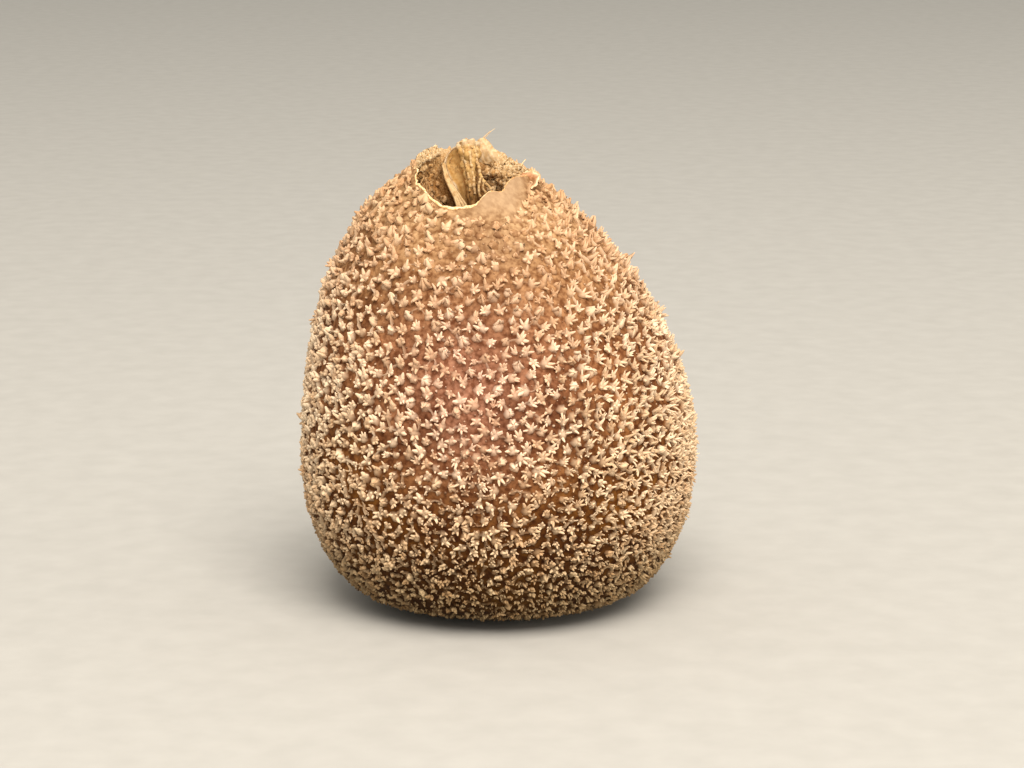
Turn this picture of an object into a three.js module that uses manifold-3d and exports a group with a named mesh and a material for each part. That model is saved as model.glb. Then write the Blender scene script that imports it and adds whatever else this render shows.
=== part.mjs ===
// A small ripe puffball mushroom, standing on the small flat spot of its underside.
//
// It is an egg, wide and nearly flat below and narrowing to a crown that leans a little to one side.
// The crown has torn open, so there is a ragged mouth there with a thin rim, and a hollow under it.
// Folds of the inner tissue still stand in the hollow: a curtain against the back wall, and a flat
// strap that slants from the back wall to the floor. The whole fungus grew as one piece, so it is
// one solid.
//
// Millimetres, +Z up. The origin is the middle of the flat spot. The mouth dips lowest towards -Y,
// and the crown leans towards -X.
import * as THREE from "three";
import { mergeVertices } from "three/addons/utils/BufferGeometryUtils.js";
import Module from "manifold-3d";

// The egg. Its radius is measured half-way up the blunt warts that cover it.
const WIDEST_RADIUS = 13.2;
const WIDEST_HEIGHT = 10.5;
const LOWER_REACH = 12.5; // more than the height, so that the ground cuts it
const LOWER_POWER = 2.4; // the higher the power, the squarer the curve
const UPPER_REACH = 19.6;
const UPPER_POWER = 1.85;
const FOOT_HEIGHT = 1.8; // below this, the underside is drawn in to the small flat spot
const FOOT_INSET = 2.6;
const OVALNESS = 0.008; // how far the round plan is pulled into an oval, as a share of the radius
const OVAL_TURN = 25; // degrees

// The crown's lean.
const LEAN = 2.3;
const LEAN_START = 12;
const LEAN_END = 28.5;
const LEAN_POWER = 1.5;

// The mouth's rim. Angles are in degrees from +X, seen from above.
const COLLAR_RADIUS = 3.55; // the crown stands up as a short collar instead of closing
const COLLAR_BLEND = 0.6;
const COLLAR_START = 28;
const COLLAR_END = 29.6;
const COLLAR_SHIFT = 0.55; // the collar stands off the crown's middle, against the lean
const RIM_HEIGHT = 29.3;
const RIM_TILT = 0.75;
const RIM_HIGH_SIDE = 130;
const RIM_THICKNESS = 0.4;
const TEARS = [
  { turn: -130, rise: -0.6, width: 26 }, // the slope down to the notch
  { turn: -97, rise: -1.4, width: 17 }, // the notch at the front
  { turn: -84, rise: -0.35, width: 9 }, // the notch's square corner
  { turn: -66, rise: -0.3, width: 14 },
  { turn: -38, rise: 0.3, width: 22 },
  { turn: 41, rise: -0.15, width: 8 },
  { turn: 52, rise: 0.1, width: 7 },
  { turn: 74, rise: 0.8, width: 8 }, // the peak at the back
  { turn: 93, rise: 0.55, width: 12 }, // the peak's lower shoulder
  { turn: 114, rise: -0.15, width: 6 },
];

// The hollow under the mouth, whose wall follows the skin and so is wider than the mouth.
const FLOOR_HEIGHT = 21.6;
const WALL_THICKNESS = 1.4; // at the floor

// The curtain of inner tissue, which hangs from the peak. It is thick where it joins the back wall.
const CURTAIN_TOP = [-1.35, 3.05, 30.2];
const CURTAIN_FOOT = [-0.9, 1.3, 24.5];
const CURTAIN_EDGE = 0.6;
const CURTAIN_ROOT = 1.8;

// The strap's middle line from the back wall to the floor.
const STRAP = [
  [-3.6, 3.45, 28.85],
  [-2.9, 2.2, 28],
  [-2.2, 1.1, 26.7],
  [-1.9, 0.8, 24.6],
  [-1.8, 0.8, 21.4],
];
const STRAP_WIDTH = 0.55;
const STRAP_THICKNESS = 0.35;

// How finely the egg is drawn.
const SIDES = 72;
const SIDE_ROWS = 32;
const HOLLOW_ROWS = 12;

const radians = THREE.MathUtils.degToRad;
const lerp = THREE.MathUtils.lerp;
const clamp = THREE.MathUtils.clamp;

// The height of the torn rim in a direction.
function rimHeight(turn) {
  let height = RIM_HEIGHT + RIM_TILT * Math.cos(turn - radians(RIM_HIGH_SIDE));
  for (const tear of TEARS) {
    const away = turn - radians(tear.turn);
    const angle = Math.atan2(Math.sin(away), Math.cos(away));
    height += tear.rise * Math.exp(-((angle / radians(tear.width)) ** 2));
  }
  return height;
}

// The egg's radius at a height, if the crown closed.
function eggRadius(height) {
  const below = height < WIDEST_HEIGHT;
  const reach = below ? LOWER_REACH : UPPER_REACH;
  const power = below ? LOWER_POWER : UPPER_POWER;
  const share = Math.min(Math.abs(height - WIDEST_HEIGHT) / reach, 1);
  const inset = FOOT_INSET * Math.max(1 - height / FOOT_HEIGHT, 0) ** 3;
  return WIDEST_RADIUS * (1 - share ** power) ** (1 / power) - inset;
}

// The radius with the collar round the mouth, which takes over smoothly near the top.
function bodyRadius(height) {
  const egg = eggRadius(height);
  return (egg + COLLAR_RADIUS + Math.hypot(egg - COLLAR_RADIUS, COLLAR_BLEND)) / 2;
}

// How far the middle stands to the side at a height.
function leanAt(height) {
  const lean = clamp((height - LEAN_START) / (LEAN_END - LEAN_START), 0, 1);
  const collar = THREE.MathUtils.smoothstep(height, COLLAR_START, COLLAR_END);
  return COLLAR_SHIFT * collar - LEAN * lean ** LEAN_POWER;
}

// The point at a direction, radius and height, with the oval plan and the lean put in.
function place(turn, radius, height) {
  const oval = 1 + OVALNESS * Math.cos(2 * (turn - radians(OVAL_TURN)));
  return new THREE.Vector3(
    leanAt(height) + radius * oval * Math.cos(turn),
    radius * oval * Math.sin(turn),
    height,
  );
}

// The outline in a direction, as radius and height: from the middle of the flat spot out to the
// side, up to the rim, over its edge, and down the hollow to the middle of its floor.
function outline(turn) {
  const rim = rimHeight(turn);
  const points = [[0, 0], [bodyRadius(0) / 2, 0]];
  for (let row = 0; row <= SIDE_ROWS; row++) {
    const share = (1 - Math.cos((Math.PI * row) / SIDE_ROWS)) / 2; // rows lie closer at both ends
    points.push([bodyRadius(share * rim), share * rim]);
  }
  for (let row = 0; row < HOLLOW_ROWS; row++) {
    const quarter = (Math.PI / 2) * (row / HOLLOW_ROWS);
    const depth = Math.sin(quarter);
    const height = lerp(rim, FLOOR_HEIGHT, depth);
    const wall = lerp(RIM_THICKNESS, WALL_THICKNESS, depth);
    const corner = Math.sqrt(Math.cos(quarter)); // rounds the wall into the flat floor
    points.push([(bodyRadius(height) - wall) * corner, height]);
  }
  points.push([0, FLOOR_HEIGHT]);
  return points;
}

// A lathe gives the net of faces, and then each point is put where the outline has it.
function body() {
  const rows = outline(0).length;
  const geometry = new THREE.LatheGeometry(outline(0).map((p) => new THREE.Vector2(...p)), SIDES);
  const position = geometry.getAttribute("position");
  for (let column = 0; column <= SIDES; column++) {
    const turn = (2 * Math.PI * (column % SIDES)) / SIDES;
    outline(turn).forEach(([radius, height], row) => {
      position.setXYZ(column * rows + row, ...place(turn, radius, height));
    });
  }
  return geometry;
}

// A box cut into rows, with each of its points moved. Along the box, the share goes from 0 to 1.
function shaped(rows, moved) {
  const geometry = new THREE.BoxGeometry(1, 1, 1, 1, 1, rows);
  const position = geometry.getAttribute("position");
  for (let i = 0; i < position.count; i++) {
    const share = position.getZ(i) + 0.5;
    position.setXYZ(i, ...moved(position.getX(i), position.getY(i), share));
  }
  return geometry;
}

// The curtain's front edge runs from its top to its foot and then straight down into the floor.
function curtain() {
  return shaped(10, (across, back, share) => {
    const height = lerp(FLOOR_HEIGHT - 0.6, CURTAIN_TOP[2], share);
    const rise = Math.max(height - CURTAIN_FOOT[2], 0) / (CURTAIN_TOP[2] - CURTAIN_FOOT[2]);
    const front = lerp(CURTAIN_FOOT[1], CURTAIN_TOP[1], rise ** 1.6);
    const root = bodyRadius(height) - RIM_THICKNESS / 2;
    const thickness = back < 0 ? CURTAIN_EDGE : CURTAIN_ROOT;
    const middle = lerp(CURTAIN_FOOT[0], CURTAIN_TOP[0], rise);
    return [middle + across * thickness, back < 0 ? front : root, height];
  });
}

function strap() {
  const line = new THREE.CatmullRomCurve3(STRAP.map((point) => new THREE.Vector3(...point)));
  const up = new THREE.Vector3(1, 0, 0);
  return shaped(10, (across, through, share) => {
    const along = line.getTangent(share);
    const side = up.clone().addScaledVector(along, -along.dot(up)).normalize();
    const face = new THREE.Vector3().crossVectors(along, side);
    const point = line.getPoint(share);
    point.addScaledVector(side, across * STRAP_WIDTH);
    return point.addScaledVector(face, through * STRAP_THICKNESS);
  });
}

const wasm = await Module();
wasm.setup();

// A closed solid, with the seams of its geometry joined.
function solid(geometry) {
  geometry.deleteAttribute("normal");
  geometry.deleteAttribute("uv");
  const merged = mergeVertices(geometry, 1e-4);
  const mesh = new wasm.Mesh({
    numProp: 3,
    vertProperties: Float32Array.from(merged.getAttribute("position").array),
    triVerts: Uint32Array.from(merged.getIndex().array),
  });
  return new wasm.Manifold(mesh);
}

const whole = solid(body()).add(solid(curtain())).add(solid(strap())).getMesh();
const geometry = new THREE.BufferGeometry();
geometry.setAttribute("position", new THREE.BufferAttribute(whole.vertProperties, whole.numProp));
geometry.setIndex(new THREE.BufferAttribute(whole.triVerts, 1));
geometry.computeVertexNormals();

const puffball = new THREE.Mesh(
  geometry,
  new THREE.MeshStandardMaterial({ color: 0xbf916e, roughness: 0.9, metalness: 0 }),
);
puffball.name = "puffball";

const group = new THREE.Group();
group.name = "small_puffball";
group.add(puffball);

export default group;
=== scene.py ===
# %% [markdown]
# # A small ripe puffball mushroom
#
# The real thing is one grown body, about 27 mm across and 31 mm tall. Its brown skin is set all
# over with cream warts, each a tuft of a few soft spines. The crown has torn open, and folds of
# the inner tissue stand in the hollow under the mouth. Such a thing could be sculpted by hand.
# Here each shape is worked out in code instead: rules for spacing, size and colour cover the
# whole body evenly, and one rule can be changed without touching the others.
#
# The first cell loads the frame, a plain solid of the mushroom in its real size and place. Its
# box is kept, so that the last cell can set the finished pieces against it.

# %% Load the frame
import math

import bpy
import numpy as np
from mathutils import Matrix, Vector, kdtree, noise


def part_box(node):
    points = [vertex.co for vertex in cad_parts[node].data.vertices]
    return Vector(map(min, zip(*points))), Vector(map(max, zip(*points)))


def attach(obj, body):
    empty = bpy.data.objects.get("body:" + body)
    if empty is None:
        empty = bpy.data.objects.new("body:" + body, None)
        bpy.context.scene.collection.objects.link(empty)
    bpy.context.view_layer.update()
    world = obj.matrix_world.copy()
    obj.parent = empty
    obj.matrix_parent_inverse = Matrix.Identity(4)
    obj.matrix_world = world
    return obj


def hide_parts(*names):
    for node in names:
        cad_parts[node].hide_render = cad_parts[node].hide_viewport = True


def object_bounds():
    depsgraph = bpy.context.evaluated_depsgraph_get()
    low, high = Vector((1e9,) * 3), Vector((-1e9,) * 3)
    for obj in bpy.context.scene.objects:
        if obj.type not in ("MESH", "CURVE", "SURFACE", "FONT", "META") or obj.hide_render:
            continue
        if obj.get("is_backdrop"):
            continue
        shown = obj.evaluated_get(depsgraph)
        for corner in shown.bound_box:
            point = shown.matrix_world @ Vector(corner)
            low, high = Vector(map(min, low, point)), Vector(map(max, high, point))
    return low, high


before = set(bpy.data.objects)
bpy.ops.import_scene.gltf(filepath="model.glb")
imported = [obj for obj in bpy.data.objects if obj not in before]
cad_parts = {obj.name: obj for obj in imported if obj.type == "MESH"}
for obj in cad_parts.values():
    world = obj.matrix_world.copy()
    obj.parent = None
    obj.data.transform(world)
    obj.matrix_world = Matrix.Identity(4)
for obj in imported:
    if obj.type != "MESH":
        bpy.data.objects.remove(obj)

NODE = "puffball"
BODY = "root"
cad_low, cad_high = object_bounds()
node_low, node_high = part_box(NODE)
print("the solid's box, in mm:", [round(1000 * side, 2) for side in node_high - node_low])

# %% [markdown]
# ## Working in millimetres
#
# Blender measures in metres, but a mushroom this small is easier to think about in millimetres.
# The scene's unit could be changed, but that only changes what the screen shows. So each shape is
# worked out in millimetres, from the middle of the flat spot that the body stands on, and a
# single factor, measured off the frame, turns it to metres at the end. All chance comes from one
# seeded source, so that every run grows the same mushroom.

# %% The size factor and the random draws
BODY_HEIGHT = 30.576  # the solid's, in millimetres
SEED = 7
MM = (node_high.z - node_low.z) / BODY_HEIGHT
FOOT = Vector((0.0, 0.0, node_low.z))
chance = np.random.default_rng(SEED)
print("one millimetre is", round(MM, 6), "metres")

# %% [markdown]
# ## The body's surface as a formula
#
# Everything on this mushroom follows its skin: the warts stand on it and the hollow lies under
# it. A piece could look for the solid's nearest face, but that face is flat, and close views
# would show it. So the egg is written once as a formula, with the same named values as the solid,
# and each piece asks it for points.

# %% The egg's outline
WIDEST_RADIUS = 13.2
WIDEST_HEIGHT = 10.5
LOWER_REACH, LOWER_POWER = 12.5, 2.4  # how far below it the curve runs, and how square
UPPER_REACH, UPPER_POWER = 19.6, 1.85  # the same above it
FOOT_HEIGHT, FOOT_INSET = 1.8, 2.6  # how the foot draws in
OVALNESS, OVAL_TURN = 0.008, math.radians(25)  # seen from above
COLLAR_RADIUS, COLLAR_BLEND = 3.55, 0.6  # round the mouth


def egg_radius(height):
    """The egg alone: two quarter ovals that meet at the widest part."""
    below = height < WIDEST_HEIGHT
    reach = np.where(below, LOWER_REACH, UPPER_REACH)
    power = np.where(below, LOWER_POWER, UPPER_POWER)
    share = np.minimum(np.abs(height - WIDEST_HEIGHT) / reach, 1)
    inset = FOOT_INSET * np.maximum(1 - height / FOOT_HEIGHT, 0) ** 3
    return WIDEST_RADIUS * (1 - share**power) ** (1 / power) - inset


def body_radius(height):
    """The egg's radius, with the short collar round the mouth taking over near the top."""
    egg = egg_radius(height)
    return (egg + COLLAR_RADIUS + np.hypot(egg - COLLAR_RADIUS, COLLAR_BLEND)) / 2


print("the egg is", 2 * WIDEST_RADIUS, "mm across at its widest,", WIDEST_HEIGHT, "mm up")

# %% [markdown]
# The crown leans to one side, and the collar stands a little straighter. A Simple Deform modifier
# could bend a finished egg, but then every wart and thread would have to be bent with it. So the
# lean is a part of the formula: it moves the middle of each level sideways.

# %% The crown's lean
LEAN, LEAN_START, LEAN_END, LEAN_POWER = 2.3, 12, 28.5, 1.5
COLLAR_START, COLLAR_END, COLLAR_SHIFT = 28, 29.6, 0.55  # the collar's step back


def ease(share):
    """0 to 1 with a soft start and end."""
    share = np.clip(share, 0, 1)
    return share * share * (3 - 2 * share)


def lean_at(height):
    """How far the middle of a level is to the right of the foot's middle."""
    lean = np.clip((height - LEAN_START) / (LEAN_END - LEAN_START), 0, 1)
    collar = ease((height - COLLAR_START) / (COLLAR_END - COLLAR_START))
    return COLLAR_SHIFT * collar - LEAN * lean**LEAN_POWER


print("the crown leans", round(float(-lean_at(LEAN_END)), 2), "mm to the left")

# %% [markdown]
# The mouth is a tear, with a notch in front and a peak behind. A Boolean modifier could cut it
# out with a ragged block. A height for each direction says as much in one line, and every piece
# that ends at the rim can ask for it. Each tear or peak is a smooth dip or bump in that height.

# %% The torn rim
RIM_HEIGHT, RIM_TILT, RIM_HIGH_SIDE = 29.3, 0.75, math.radians(130)
TEARS = [  # direction in degrees, rise in millimetres, width in degrees
    (-130, -0.6, 26),
    (-97, -1.4, 17),
    (-84, -0.35, 9),
    (-66, -0.3, 14),
    (-38, 0.3, 22),
    (41, -0.15, 8),
    (52, 0.1, 7),
    (74, 0.8, 8),
    (93, 0.55, 12),
    (114, -0.15, 6),
]


def turn_between(turn, degrees):
    """How far a direction is from another, in degrees, the short way round."""
    return (np.degrees(turn) - degrees + 180) % 360 - 180


def tears_at(turn, tears):
    """How much the tears raise the rim in a direction. A dip has a rise below zero."""
    return sum(
        rise * np.exp(-((turn_between(turn, degrees) / width) ** 2))
        for degrees, rise, width in tears
    )


def rim_height(turn):
    """The height at which the skin ends in a direction."""
    return RIM_HEIGHT + RIM_TILT * np.cos(turn - RIM_HIGH_SIDE) + tears_at(turn, TEARS)


rim_heights = rim_height(np.linspace(-np.pi, np.pi, 361))
print("the rim is", round(rim_heights.min(), 1), "to", round(rim_heights.max(), 1), "mm up")

# %% [markdown]
# A place on the skin is given by its direction, and by how far it is along the skin from the
# middle of the underside. Height would be simpler to ask for, but equal steps of height leave
# long gaps where the egg turns under. Equal steps along the skin keep the faces of a mesh even,
# and let the warts be scattered evenly.

# %% From a way along the skin to a point
FLAT_RADIUS = float(body_radius(0.0))
table_heights = np.linspace(0, 31.5, 3151)  # a hundredth of a millimetre apart
table_steps = np.hypot(np.diff(body_radius(table_heights)), np.diff(table_heights))
table_ways = FLAT_RADIUS + np.concatenate([[0], np.cumsum(table_steps)])


def height_at(way):
    """The height of a place that is so far along the skin."""
    return np.interp(way, table_ways, table_heights)


def way_at(height):
    """How far along the skin a height is."""
    return np.interp(height, table_heights, table_ways)


def place(turn, radius, height):
    """The point in a direction, at a radius and height, with the lean and the oval put in."""
    oval = 1 + OVALNESS * np.cos(2 * (turn - OVAL_TURN))
    x = lean_at(height) + radius * oval * np.cos(turn)
    y = radius * oval * np.sin(turn)
    return np.stack([x, y, height + 0 * x], axis=-1)


def on_skin(turn, way):
    """The point of the solid's surface in a direction, so far along the skin."""
    height = height_at(way)
    return place(turn, np.where(way < FLAT_RADIUS, way, body_radius(height)), height)


def unit(vectors):
    """The same directions, each one long."""
    return vectors / np.maximum(np.linalg.norm(vectors, axis=-1, keepdims=True), 1e-12)


def facing(turn, way):
    """The skin's outward direction at a place."""
    step = 1e-3
    around = on_skin(turn + step, way) - on_skin(turn - step, way)
    along = on_skin(turn, way + step) - on_skin(turn, way - step)
    return unit(np.cross(around, along))


print("along the skin to the rim:", round(float(way_at(RIM_HEIGHT)), 1), "mm")

# %% [markdown]
# ## Making a mesh from arrays
#
# Geometry nodes could strew copies of one wart, but here each wart has a form of its own, and
# there are thousands. So their points are worked out together in arrays. One helper turns such
# arrays into a piece: it rides on the frame's only body, stands for the plain solid there, and
# can carry a value for each point, which the materials read.

# %% Helpers that make pieces
def make_piece(name, points, faces, material, **values):
    """A smooth piece of the mushroom, with a value for each point under each further name."""
    mesh = bpy.data.meshes.new(name)
    mesh.from_pydata((points * MM).tolist(), [], faces.tolist())
    mesh.update()
    for key, value in values.items():
        layer = mesh.attributes.new(key, "FLOAT", "POINT")
        layer.data.foreach_set("value", np.ascontiguousarray(value, dtype=np.float32).ravel())
    mesh.shade_smooth()
    mesh.materials.append(material)
    piece = bpy.data.objects.new(name, mesh)
    piece.location = FOOT
    bpy.context.scene.collection.objects.link(piece)
    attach(piece, BODY)
    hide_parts(NODE)
    print(name, "has", len(faces) * (faces.shape[1] - 2), "triangles")


def halved(squares):
    """Two triangles for each four-sided face."""
    return np.concatenate([squares[:, [0, 1, 2]], squares[:, [0, 2, 3]]])


def net_faces(rows, columns, closed=True):
    """Four-sided faces of a net of points, whose columns may join up into a ring."""
    last = columns if closed else columns - 1
    row, column = np.meshgrid(np.arange(rows - 1), np.arange(last), indexing="ij")
    after = (column + 1) % columns
    corners = [row * columns + column, row * columns + after]
    corners += [(row + 1) * columns + after, (row + 1) * columns + column]
    return np.stack(corners, axis=-1).reshape(-1, 4)


def noise_at(points, size, seed=0.0, octaves=3):
    """Soft noise from -1 to 1 whose lumps are about as large as size, in millimetres."""
    shift = Vector((seed, 2 * seed, -seed))
    flat = points.reshape(-1, 3) / size
    found = [noise.fractal(Vector(p) + shift, 1.0, 2.0, octaves) for p in flat.tolist()]
    return np.array(found).reshape(points.shape[:-1])


print("a ring of 3 by 8 points has", len(net_faces(3, 8)), "four-sided faces")

# %% [markdown]
# ## Colours and nodes
#
# Colours are written as the hex values a screen shows, and one function turns them to the linear
# values that light is worked out with. Nodes could be laid out by hand in the Shader Editor. In
# code one small function adds any node with its settings, values and links, so that a material is
# read from top to bottom.

# %% Helpers for materials
MIX_SHARE, MIX_FROM, MIX_TO = 0, 6, 7  # a Mix node's sockets when it mixes colours
MIXED = 2  # and what comes out of it


def linear(screen):
    """A linear colour from an sRGB hex value."""
    parts = [int(screen[i : i + 2], 16) / 255 for i in (1, 3, 5)]
    return [p / 12.92 if p <= 0.04045 else ((p + 0.055) / 1.055) ** 2.4 for p in parts] + [1.0]


def add(tree, kind, sockets=None, stops=None, **settings):
    """Adds a node. A socket gets a link, a colour (from its hex value) or a plain value."""
    made = tree.nodes.new(kind)
    for key, value in settings.items():
        setattr(made, key, value)
    for key, value in (sockets or {}).items():
        if isinstance(value, bpy.types.NodeSocket):
            tree.links.new(value, made.inputs[key])
        else:
            made.inputs[key].default_value = linear(value) if isinstance(value, str) else value
    if stops:
        ramp = made.color_ramp.elements
        while len(ramp) < len(stops):
            ramp.new(1.0)
        for element, (position, screen) in zip(ramp, stops):
            element.position = position
            element.color = linear(screen)
    return made


def new_material(name):
    """An empty material, and the tree that its nodes go in."""
    material = bpy.data.materials.new(name)
    material.use_nodes = True
    material.node_tree.nodes.clear()
    return material, material.node_tree


print("middle grey on a screen is", round(linear("#808080")[0], 3), "in light")

# %% [markdown]
# ## Camera, light and floor
#
# The camera stands a little above the mushroom and looks at the side where the mouth dips. A wide
# lens from close by would make the near side bulge. A long lens from further off keeps the egg's
# shape true, as a macro lens does.

# %% Camera
CAMERA_RISE = math.radians(12)  # above the level
LENS_LENGTH, SENSOR_WIDTH = 100, 36  # in millimetres, like the distance
CAMERA_DISTANCE = 189.7
AIM = Vector((0.93, 0.0, 14.6)) * MM + FOOT
lens = bpy.data.cameras.new("macro lens")
lens.lens = LENS_LENGTH
lens.sensor_width = SENSOR_WIDTH
lens.clip_start = 0.01  # metres
lens.clip_end = 10
camera = bpy.data.objects.new("camera", lens)
toward_camera = Vector((0, -math.cos(CAMERA_RISE), math.sin(CAMERA_RISE)))
camera.location = AIM + toward_camera * CAMERA_DISTANCE * MM
camera.rotation_euler = (math.pi / 2 - CAMERA_RISE, 0, 0)
bpy.context.scene.collection.objects.link(camera)
bpy.context.scene.camera = camera
bpy.context.scene.view_settings.view_transform = "Standard"
print("the camera is", CAMERA_DISTANCE, "mm from the mushroom")

# %% [markdown]
# The light is that of a bright, overcast day. A sun lamp would draw a hard shadow of every spine,
# and would make a dried skin look wet. So one large soft panel stands above and almost straight
# in front, a weaker one low on the right, and a plain pale sky lights the rest.

# %% Lights
PANEL_DISTANCE = 600
PANELS = [  # name, turn and rise in degrees, side in millimetres, power in watts and colour
    ("sky panel", -80, 52, 420, 5.7, "#fff8ee"),
    ("side panel", -16, 3, 300, 1.1, "#fdf4e4"),
]
SKY_COLOUR, SKY_STRENGTH = "#f3f0e8", 0.72


def soft_panel(name, turn, rise, size, power, screen):
    """A square panel that faces the mushroom. Turn and rise say where it stands."""
    light = bpy.data.lights.new(name, "AREA")
    light.shape = "SQUARE"
    light.size = size * MM
    light.energy = power
    light.color = linear(screen)[:3]
    holder = bpy.data.objects.new(name, light)
    around, up = math.radians(turn), math.radians(rise)
    way = Vector((math.cos(around) * math.cos(up), math.sin(around) * math.cos(up), math.sin(up)))
    holder.location = AIM + way * PANEL_DISTANCE * MM
    holder.rotation_euler = (-way).to_track_quat("-Z", "Y").to_euler()
    bpy.context.scene.collection.objects.link(holder)


for panel in PANELS:
    soft_panel(*panel)
world = bpy.data.worlds.new("pale sky")
world.use_nodes = True
sky = world.node_tree.nodes["Background"].inputs
sky["Color"].default_value = linear(SKY_COLOUR)
sky["Strength"].default_value = SKY_STRENGTH
bpy.context.scene.world = world
print(len(PANELS), "panels, the brightest", max(panel[4] for panel in PANELS), "W")

# %% [markdown]
# The mushroom stands on a pale painted board. Moss and soil would be truer to where it grows, but
# they would hide its foot. Matt paint dries very slightly blotchy, which keeps the floor from
# looking like empty paper. The board is the stage, so it is no part of the mushroom.

# %% Floor
FLOOR_HALF = 1.2  # metres
BLOTCH_WIDTH = 8 / 3  # millimetres

# Matt paint, rolled on: a soft pale grey without a shine. Such paint has a roughness near 0.9,
# and an IOR of 1.5.
floor_paint, tree = new_material("pale painted board")
# The floor's own coordinates run from 0 to 1 across it.
blotches_across = 2 * FLOOR_HALF / (BLOTCH_WIDTH * MM)
blotches = add(tree, "ShaderNodeTexNoise", {"Scale": blotches_across, "Detail": 3.0})
tint = add(
    tree,
    "ShaderNodeValToRGB",
    {"Fac": blotches.outputs["Fac"]},
    stops=[(0.3, "#b4b1ab"), (0.7, "#bab7b1")],
)
shader = add(
    tree,
    "ShaderNodeBsdfPrincipled",
    {
        "Base Color": tint.outputs["Color"],
        "Metallic": 0.0,
        "Roughness": 0.9,
        "IOR": 1.5,
        "Specular IOR Level": 0.2,
    },
)
add(tree, "ShaderNodeOutputMaterial", {"Surface": shader.outputs["BSDF"]})
corners = [(FLOOR_HALF * x, FLOOR_HALF * y, 0) for x, y in ((-1, -1), (1, -1), (1, 1), (-1, 1))]
mesh = bpy.data.meshes.new("floor")
mesh.from_pydata(corners, [], [(0, 1, 2, 3)])
mesh.materials.append(floor_paint)
floor = bpy.data.objects.new("floor", mesh)
floor.location.z = FOOT.z
bpy.context.scene.collection.objects.link(floor)
floor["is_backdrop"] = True
print("the floor is", 2 * FLOOR_HALF, "m and", round(blotches_across), "blotches wide")

# %% [markdown]
# ## The skin's finish
#
# The outer skin of a ripe puffball is leathery: a tough sheet of matted threads that has dried on
# the body. Its brown is deepest at the foot, partly its own colour and partly painted shade of the
# lower body, and pales towards the torn crown, where it is stretched thin. In the middle of the
# front it has a pink-brown flush. An image texture could be wrapped round the egg, but it would
# stretch and show a seam. A ramp of browns over the height, with patterns of known size laid on
# it, does neither.

# %% The skin's browns and the sizes of its patterns
# Darker towards the foot: partly the skin's own brown, partly painted shade of the lower body.
SKIN_BY_HEIGHT = [  # 0 at the foot and 1 at the top of the rim
    (0.00, "#402a0a"),
    (0.12, "#57360c"),
    (0.30, "#7c4e19"),
    (0.60, "#a06d46"),
    (0.77, "#b78c61"),
    (0.88, "#c7a176"),
    (0.95, "#c39b6d"),
]
FLUSH = "#b38068"
BARE_COLLAR = "#b99875"
SKIN_PATTERNS = [(3.5, "#c2b5a8"), (0.35, "#a8917c")]  # blotches and specks: millimetres, shade
SKIN_GRAIN = 0.22  # millimetres, twice as coarse as the real grain, which would not show
print("the skin has", len(SKIN_BY_HEIGHT), "browns and", len(SKIN_PATTERNS), "patterns")

# %% [markdown]
# A material has to know where on the mushroom it is. UV maps would have to be unwrapped for every
# piece. The object's own coordinates need no unwrapping, are in metres, and are the same for all
# the pieces. What they can't say, such as how flushed a place is, comes from the values that a
# mesh carries for its points, through an Attribute node.

# %% Where on the mushroom a material is
def surface_parts(tree):
    """The place on the mushroom, and its height: 0 at the foot and 1 at the top of the rim."""
    place_here = add(tree, "ShaderNodeTexCoord").outputs["Object"]
    parts = add(tree, "ShaderNodeSeparateXYZ", {"Vector": place_here})
    height = add(
        tree,
        "ShaderNodeMapRange",
        {"Value": parts.outputs["Z"], "From Min": 0.0, "From Max": BODY_HEIGHT * MM},
    )
    return place_here, height.outputs["Result"]


print("for a material, height 1 is", BODY_HEIGHT, "mm up")

# %% [markdown]
# The skin's colour is put together in layers, as paint would be: the brown for the height, the
# flush, the paler collar, and then blotches and specks that only darken. It is a function because
# the warts are of this colour too, where they grow out of the skin.

# %% The skin's colour in layers
def skin_colour(tree):
    """The skin's colour at each place. The stretched collar has less of the patterns."""
    here, height = surface_parts(tree)
    brown = add(tree, "ShaderNodeValToRGB", {"Fac": height}, stops=SKIN_BY_HEIGHT)
    flush = add(tree, "ShaderNodeAttribute", attribute_name="flush").outputs["Fac"]
    flushed = add(
        tree,
        "ShaderNodeMix",
        {MIX_SHARE: flush, MIX_FROM: brown.outputs["Color"], MIX_TO: FLUSH},
        data_type="RGBA",
    )
    collar = add(tree, "ShaderNodeAttribute", attribute_name="collar").outputs["Fac"]
    collared = add(
        tree,
        "ShaderNodeMix",
        {MIX_SHARE: collar, MIX_FROM: flushed.outputs[MIXED], MIX_TO: BARE_COLLAR},
        data_type="RGBA",
    )
    colour = collared.outputs[MIXED]
    unstretched = add(tree, "ShaderNodeMapRange", {"Value": collar, "To Min": 1.0, "To Max": 0.3})
    for size, dark in SKIN_PATTERNS:
        noise_here = add(
            tree, "ShaderNodeTexNoise", {"Vector": here, "Scale": 1 / (size * MM), "Detail": 3.0}
        )
        patches = add(
            tree,
            "ShaderNodeValToRGB",
            {"Fac": noise_here.outputs["Fac"]},
            stops=[(0.35, dark), (0.65, "#ffffff")],
        )
        colour = add(
            tree,
            "ShaderNodeMix",
            {
                MIX_SHARE: unstretched.outputs["Result"],
                MIX_FROM: colour,
                MIX_TO: patches.outputs["Color"],
            },
            data_type="RGBA",
            blend_type="MULTIPLY",
        ).outputs[MIXED]
    return colour


blotch_scale = 1 / (SKIN_PATTERNS[0][0] * MM)
print("blotches", SKIN_PATTERNS[0][0], "mm wide need a noise of scale", round(blotch_scale))

# %% [markdown]
# Nothing on a dried puffball shines. Its tissue has the IOR of any dry plant or fungus, about
# 1.5, and is no metal, but it is so rough and so full of air that only a faint, wide gloss is
# left. A Diffuse shader would lose even that. So one finish serves all the tissue: a rough
# Principled shader with little specular, and a bump of fine grain.

# %% A dry matt finish, and the leathery skin
TISSUE_IOR = 1.5
FAINT_GLOSS = 0.12


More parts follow.
